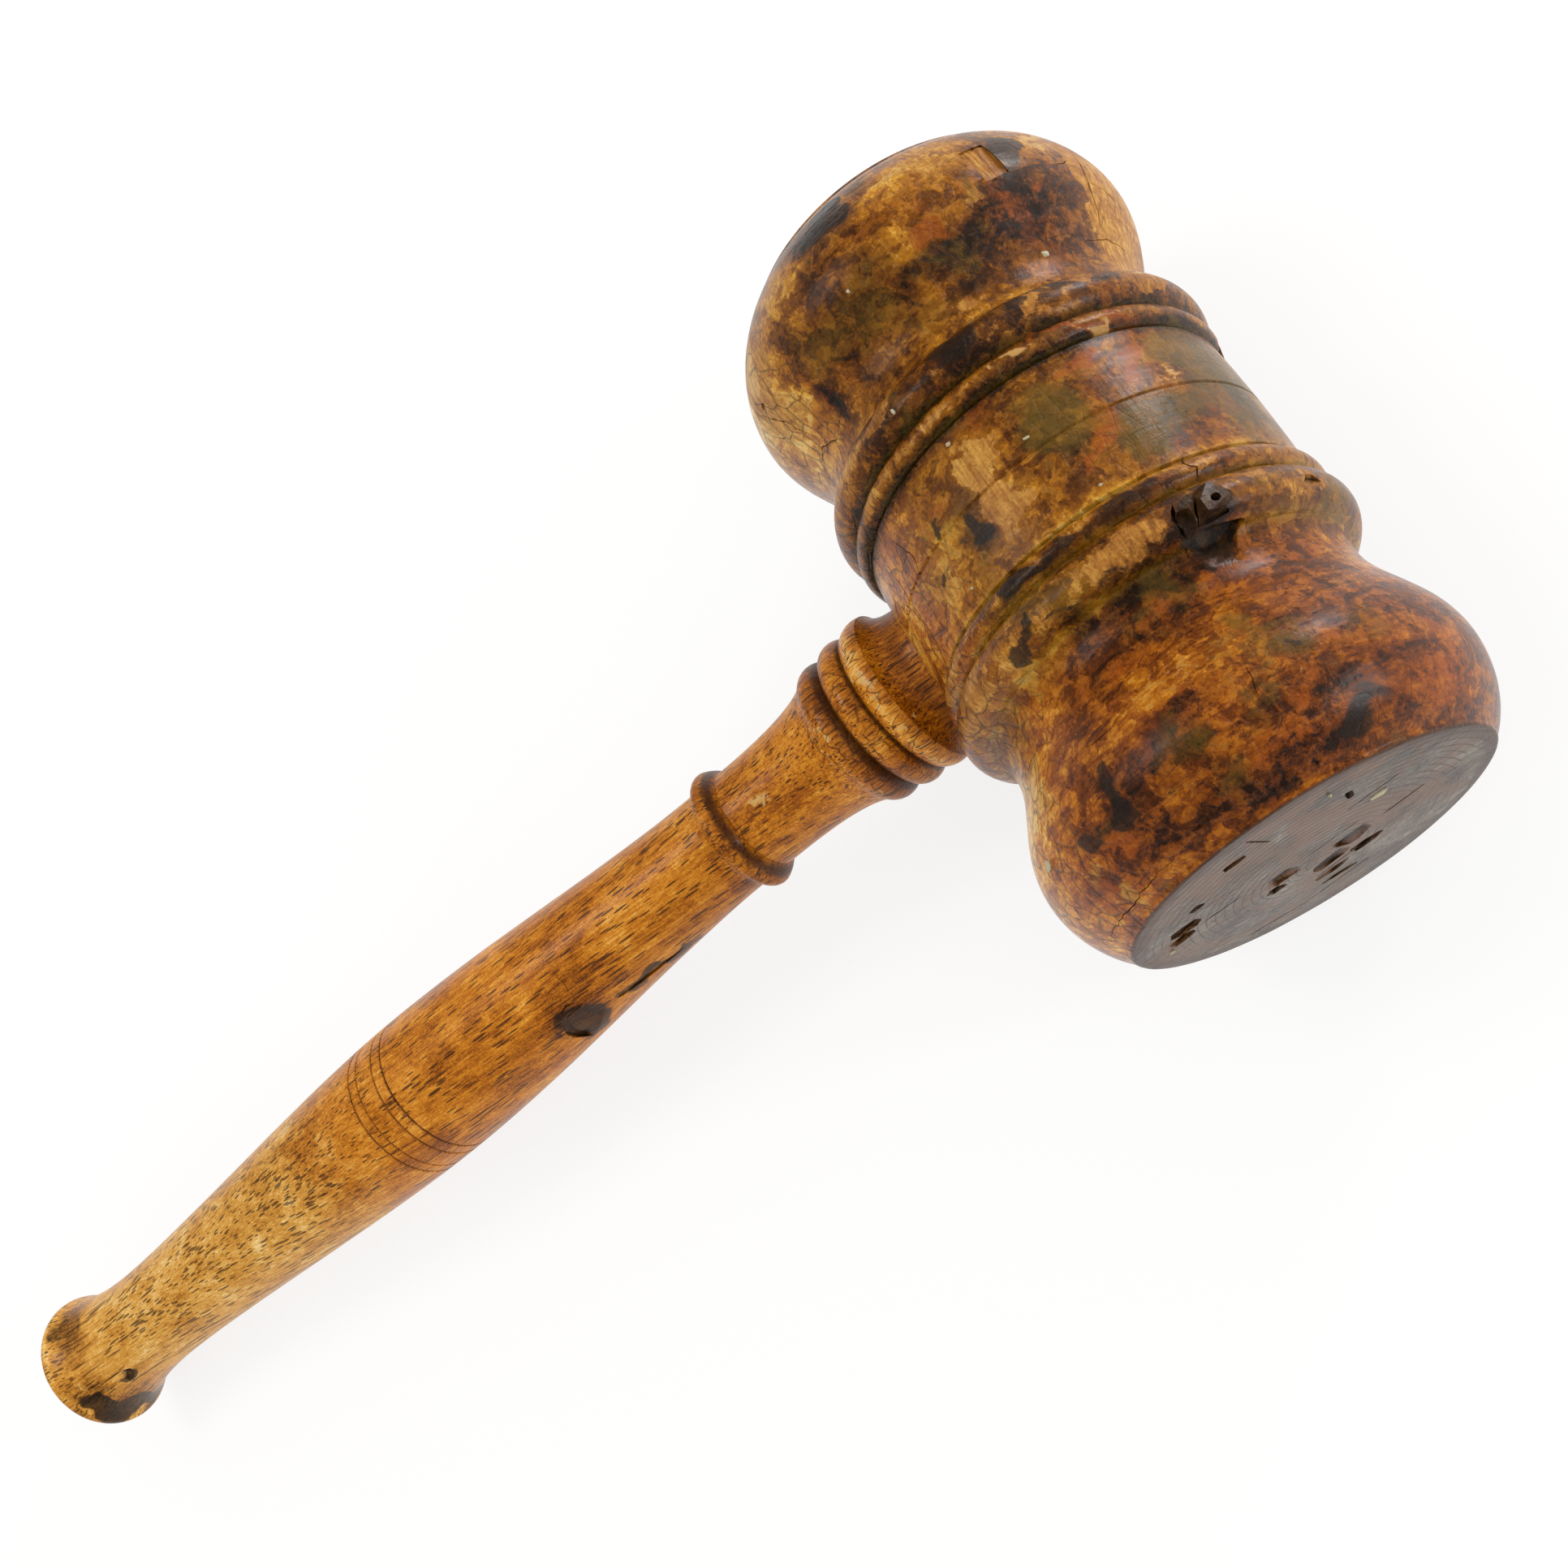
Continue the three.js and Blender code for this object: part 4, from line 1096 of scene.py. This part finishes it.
class MALLET_OT_paint(bpy.types.Operator):
    """Splash small flecks of old paint on the head"""

    bl_idname = "mallet.paint"
    bl_label = "Paint flecks"

    def execute(self, context):
        head, _, finish, _ = sizes()
        turning = Turning(HEAD_CENTRE, NEAR, UP, Vector((-1, 0, 0)), head_outline(head))
        flecks = [
            lay(stone(seed, 16), turning.place(at, turn, 0.02), turning.axis, turning.out(turn),
                (half_along, half_across, 0.3))
            for seed, (at, turn, half_along, half_across) in enumerate(PAINT_FLECKS, 70)
        ]
        for seed, (x, z, half_x, half_z) in enumerate(FACE_FLECKS, 90):
            right = Vector((1, 0, 0))
            flecks.append(lay(stone(seed, 16), on_face(x, z), right, NEAR, (half_x, half_z, 0.3)))
        clear_selection()
        for fleck in flecks:
            fleck.select_set(True)
        context.view_layer.objects.active = flecks[0]
        bpy.ops.object.join()
        piece = context.object
        piece.name = piece.data.name = "paint_flecks"
        piece.data.materials.append(old_paint(finish))
        finish_piece(piece, "head")
        return {"FINISHED"}


# Marks on the handle: (place from the head's axis, turn round it, half length, half width, strength)
HANDLE_SOOT_AND_SHADE = [
    (137.0, 70, 6.4, 7.0, 1.0), (126, 79, 4, 1.4, 0.7), (119, 86, 7, 1.7, 0.8),
    (111, 93, 6, 2.2, 0.7), (308.4, 90, 3.2, 7.0, 1.0), (306.6, 80, 2.2, 4.4, 0.9),
    (306.8, 104, 3.0, 5.0, 1.0), (308.6, 128, 3, 6, 0.8), (307.6, 49, 2.2, 2.8, 1.1),
    # (295.6, 58) is painted shade in the small hole by the knob
    (295.6, 58, 1.7, 1.5, 0.9), (302.2, 57, 1.0, 1.2, 0.6), (304.6, -34, 4.4, 7.5, 0.56),
    (309, -16, 2, 8, 0.3), (304.4, 92, 2.4, 3.4, 0.8), (309.4, 66, 1.4, 4, 0.7),
    (134.4, 33, 1.2, 0.9, 0.5), (120.4, 4, 1.0, 0.5, 0.6), (158, -21, 0.8, 0.6, 0.5),
    (75, 59, 1, 0.8, 0.4),
]
HANDLE_SHADE = [
    (186, 62, 9, 5, -0.16), (186, 20, 7, 6, -0.04), (254, 22, 6, 3, -0.15), (125, 45, 6, 3, -0.12),
    (167, 20, 5, 3, -0.07), (78, 65, 3, 3, -0.16), (92, 72, 3, 3, -0.16), (112, -16, 3, 2, -0.08),
    (64, 0, 4, 16, 0.05), (107, 10, 14, 16, 0.04), (306, 0, 4, 16, -0.06), (304, 66, 6, 8, -0.26),
    (309, 60, 3, 10, -0.22), (303, -34, 6, 9, -0.22), (285, 45, 12, 5, 0.1), (240, 50, 24, 5, 0.08),
    (270, -10, 20, 8, 0.1), (150, 60, 16, 6, -0.1), (135, 60, 7, 8, -0.16), (130, 20, 4, 5, -0.06),
    (192, 20, 10, 9, 0.12), (48, 60, 8, 6, -0.12), (165, -25, 12, 4, -0.06),
    (310.5, 5, 1.2, 12, 0.12),
]
HANDLE_RUBBED = [
    (76.4, 12, 1.4, 2.2, 0.6), (77, 33, 2.0, 0.7, 0.55), (64, 33, 0.7, 0.7, 0.55),
    (56.5, 8, 0.5, 0.6, 0.8), (43.5, 10, 1.3, 9, 0.5), (45.4, -5, 0.6, 8, 0.6),
    (58, 30, 0.6, 14, 0.5), (215, -32, 3, 1.2, 0.6), (299, 8, 1.6, 2.2, 0.5),
    (283, 44, 4, 1.2, 0.45), (292, 20, 8, 4, 0.2), (310.8, 0, 0.8, 12, 0.3),
    (172, 42, 0.7, 0.6, 0.6), (43.4, 44, 1, 1.6, 0.4), (288.6, 12, 1, 0.6, 0.5),
    (304, 32, 1.6, 1.4, 0.5), (303, 52, 2.4, 2.4, 0.5), (299, 60, 2, 2, 0.4), (306, 20, 2, 4, 0.35),
]
HANDLE_RUST = [
    (72, 10, 3, 3, 0.55), (69.4, 45, 2, 1.6, 0.7), (82, 0, 2, 5, 0.5), (58.6, -2, 1.6, 3, 0.5),
    (138, 22, 3.4, 3.4, 0.6), (140, -26, 6, 2, 0.3), (303.4, 78, 1.6, 2, 0.6),
    (302, 20, 1.4, 1.4, 0.5), (157, 40, 16, 6, 0.2), (276, 30, 3, 2, 0.3), (283, 5, 2, 1.6, 0.3),
    (93, 72, 2, 2, 0.4),
]
# The knot, the pip in it, the small hole by the knob and a nick in the shank, as for the head
HANDLE_STONES = [
    (20, 136.4, 72, 0.6, (5.2, 5.4, 1.6), "DIFFERENCE"),
    (21, 135.8, 72, -1.4, (3.5, 3.8, 1.6), "UNION"),
    (22, 295.6, 58, 0.5, (1.9, 1.6, 1.5), "DIFFERENCE"),
    (25, 76, 10, 0.5, (0.5, 2.0, 0.7), "DIFFERENCE"),
]
# The gash that runs from the knot, and cracks beside it: (places along and round, width, depth)
HANDLE_CRACKS = [
    ([(128.4, 78), (124, 82), (118, 87), (111, 92)], 1.3, 1.0),
    ([(133.2, 14), (132.6, 30), (133.6, 50)], 0.14, 0.3),
    ([(134.2, 50), (136, 47), (138.5, 50)], 0.3, 0.6), ([(50, -40), (50, -36)], 0.2, 0.4),
]
# Dirt in the grooves and scribed rings, and places a little lighter or darker all the way round
HANDLE_GROOVES = [
    (37.0, 2.0, 0.5), (47.0, 0.7, 1.0), (52.9, 1.0, 1.0), (84.9, 1.2, 1.0), (53.5, 2.6, 0.4),
    (90.3, 0.6, 0.4), (180.5, 0.4, 0.9), (183.5, 0.4, 0.75), (188.6, 0.4, 0.65), (191.2, 0.4, 0.75),
]
HANDLE_BANDS = [(44.6, 1.4, 0.34), (49.8, 1.0, 0.15), (54.5, 2.6, -0.16), (86.5, 3, -0.14)]
# Crests, worn pale and painted lighter as a highlight
HANDLE_CRESTS = [
    (43.4, 0.8, 1.0), (49.8, 0.8, 1.0), (56.6, 0.8, 1.0), (87.6, 0.8, 1.0), (310.6, 0.8, 1.0),
]


def wear_handle(piece, turning):
    """Stores how pale, shaded, stained, worn and grimy each point of the handle is, with painted
    highlights on the crests and painted shade in the small hole by the knob.
    """
    points = points_of(piece)
    along, _, radius = turning.coordinates(points)
    shade = 0.5 - 0.06 * np.clip((61 - along) / 4, 0, 1) - 0.16 * np.clip((42.2 - along) / 2, 0, 1)
    shade += bands(along, HANDLE_BANDS)
    sunk = surface_radius(turning, along) - radius
    beads = np.clip((along - 41) / 2, 0, 1) * np.clip((62 - along) / 2, 0, 1)
    store(piece, "torn", (sunk - 0.14) / 0.2 * ((along > 60) & (along < 300)))
    store(piece, "crazed", beads + bands(along, [(87, 2, 1.0)]))
    store(piece, "pale", np.clip((along - 172) / 50, 0, 1) * 0.9 + 0.25 * ((along > 42) & (along < 50)))
    store(piece, "shade", shade_marks(turning, points, HANDLE_SHADE, 0.0) + shade)
    store(piece, "soot", shade_marks(turning, points, HANDLE_SOOT_AND_SHADE, 0.06))
    store(piece, "rust", shade_marks(turning, points, HANDLE_RUST, 0.12))
    # the crests are lighter from wear and as a painted highlight
    rubbed = shade_marks(turning, points, HANDLE_RUBBED, 0.02) + 0.22 * bands(along, HANDLE_CRESTS)
    store(piece, "rubbed", rubbed)
    store(piece, "grime", bands(along, HANDLE_GROOVES))


class MALLET_OT_handle(bpy.types.Operator):
    """Turn the handle and wear it"""

    bl_idname = "mallet.handle"
    bl_label = "Handle"

    def execute(self, context):
        head, handle, finish, _ = sizes()
        tilt = handle_tilt(head, handle)
        axis = Vector((-math.cos(tilt), 0, -math.sin(tilt)))
        zero = Vector((-math.sin(tilt), 0, math.cos(tilt)))
        outline = handle_outline(handle, head.band_radius)
        turning = Turning(HEAD_CENTRE, axis, zero, NEAR, outline)
        piece = turned("handle_stick", outline, HEAD_CENTRE, axis, zero, HANDLE_SIDES)
        uneven(piece, 25, 0.12, "stick_turning")
        knock_out(piece, turning, HANDLE_STONES, 20)
        for seed, (path, width, depth) in enumerate(HANDLE_CRACKS, 60):
            carve(piece, crack_cutter(turning, path, width, depth, seed))
        only(piece)
        bpy.ops.object.shade_smooth_by_angle(angle=HANDLE_CREASE)
        wear_handle(piece, turning)
        piece.data.materials.clear()
        piece.data.materials.append(varnished_beech(finish, HEAD_CENTRE, -tilt))
        finish_piece(piece, "handle")
        return {"FINISHED"}


class MALLET_OT_stage(bpy.types.Operator):
    """Lay the floor, light the mallet and set the camera"""

    bl_idname = "mallet.stage"
    bl_label = "Stage"

    def execute(self, context):
        _, _, _, studio = sizes()
        low, high = CAD_BOX
        middle = (low + high) / 2
        clear_selection()
        bpy.ops.mesh.primitive_circle_add(vertices=96, radius=FLOOR_RADIUS, fill_type="NGON")
        floor = bpy.context.object
        floor.name = "floor"
        bpy.ops.object.transform_apply(location=True, rotation=True, scale=True)
        floor.data.materials.append(floor_paper(studio))

        world = bpy.data.worlds.new("studio")
        world.use_nodes = True
        world.node_tree.nodes.clear()
        tree = world.node_tree
        # light from all round, a dim room where the varnish mirrors it, and white for the camera
        sky, room, white = (
            add(tree, "ShaderNodeBackground", {}, {"Color": WHITE, "Strength": strength})
            for strength in (0.85, 0.12, 1.0)
        )
        seen = add(tree, "ShaderNodeLightPath", out="Is Camera Ray")
        mirrored = add(tree, "ShaderNodeLightPath", out="Is Glossy Ray")
        both = add(tree, "ShaderNodeMixShader", {}, {0: mirrored, 1: sky, 2: room})
        both = add(tree, "ShaderNodeMixShader", {}, {0: seen, 1: both, 2: white})
        add(tree, "ShaderNodeOutputWorld", {}, {"Surface": both})
        context.scene.world = world

        for name, place, side, watts in (
            ("window", (0.82, 0.45, 0.18), 0.18, 2.6),
            ("window_two", (0.90, -0.36, 0.32), 0.16, 2.2),
            ("softbox", (-0.35, 0.35, 0.95), 0.4, 2.2),
        ):
            light = bpy.data.lights.new(name, "AREA")
            light.shape = "DISK"
            light.size = side
            light.energy = watts
            lamp = bpy.data.objects.new(name, light)
            context.scene.collection.objects.link(lamp)
            lamp.location = middle + Vector(place)
            lamp.rotation_mode = "QUATERNION"
            lamp.rotation_quaternion = (-Vector(place)).to_track_quat("-Z", "Y")

        # the camera looks at a place between the head and the handle, below the middle of the box
        aim = middle + Vector((61.2, 3.7, -10.0)) * MM
        level_part = math.cos(studio.elevation)
        back = Vector((math.sin(studio.azimuth) * level_part, -math.cos(studio.azimuth) * level_part,
                       math.sin(studio.elevation)))
        camera = bpy.data.objects.new("camera", bpy.data.cameras.new("camera"))
        context.scene.collection.objects.link(camera)
        camera.data.lens = studio.lens
        camera.data.sensor_width = 36.0
        camera.data.clip_start = 0.01
        camera.location = aim + back * studio.distance
        camera.rotation_mode = "QUATERNION"
        camera.rotation_quaternion = (
            (-back).to_track_quat("-Z", "Y").to_matrix() @ Matrix.Rotation(studio.roll, 3, "Z")
        ).to_quaternion()
        context.scene.camera = camera
        context.scene.view_settings.view_transform = "Standard"
        return {"FINISHED"}


OPERATORS = (MALLET_OT_head, MALLET_OT_paint, MALLET_OT_handle, MALLET_OT_stage)


class MALLET_PT_panel(bpy.types.Panel):
    """Lists the mallet's pieces and its stage"""

    bl_label = "Carving Mallet"
    bl_idname = "MALLET_PT_panel"
    bl_space_type = "VIEW_3D"
    bl_region_type = "UI"
    bl_category = "Mallet"

    def draw(self, context):
        for operator in OPERATORS:
            self.layout.operator(operator.bl_idname)


GROUPS = {
    "mallet_head": HeadSizes,
    "mallet_handle": HandleSizes,
    "mallet_finish": Finish,
    "mallet_studio": Studio,
}
CLASSES = (*GROUPS.values(), *OPERATORS, MALLET_PT_panel)


def register():
    for cls in CLASSES:
        bpy.utils.register_class(cls)
    for name, group in GROUPS.items():
        setattr(bpy.types.Scene, name, PointerProperty(type=group))


def unregister():
    for name in GROUPS:
        delattr(bpy.types.Scene, name)
    for cls in reversed(CLASSES):
        bpy.utils.unregister_class(cls)


def main():
    register()
    bpy.ops.mallet.head()
    bpy.ops.mallet.paint()
    bpy.ops.mallet.handle()
    bpy.ops.mallet.stage()


if __name__ == "__main__":
    main()
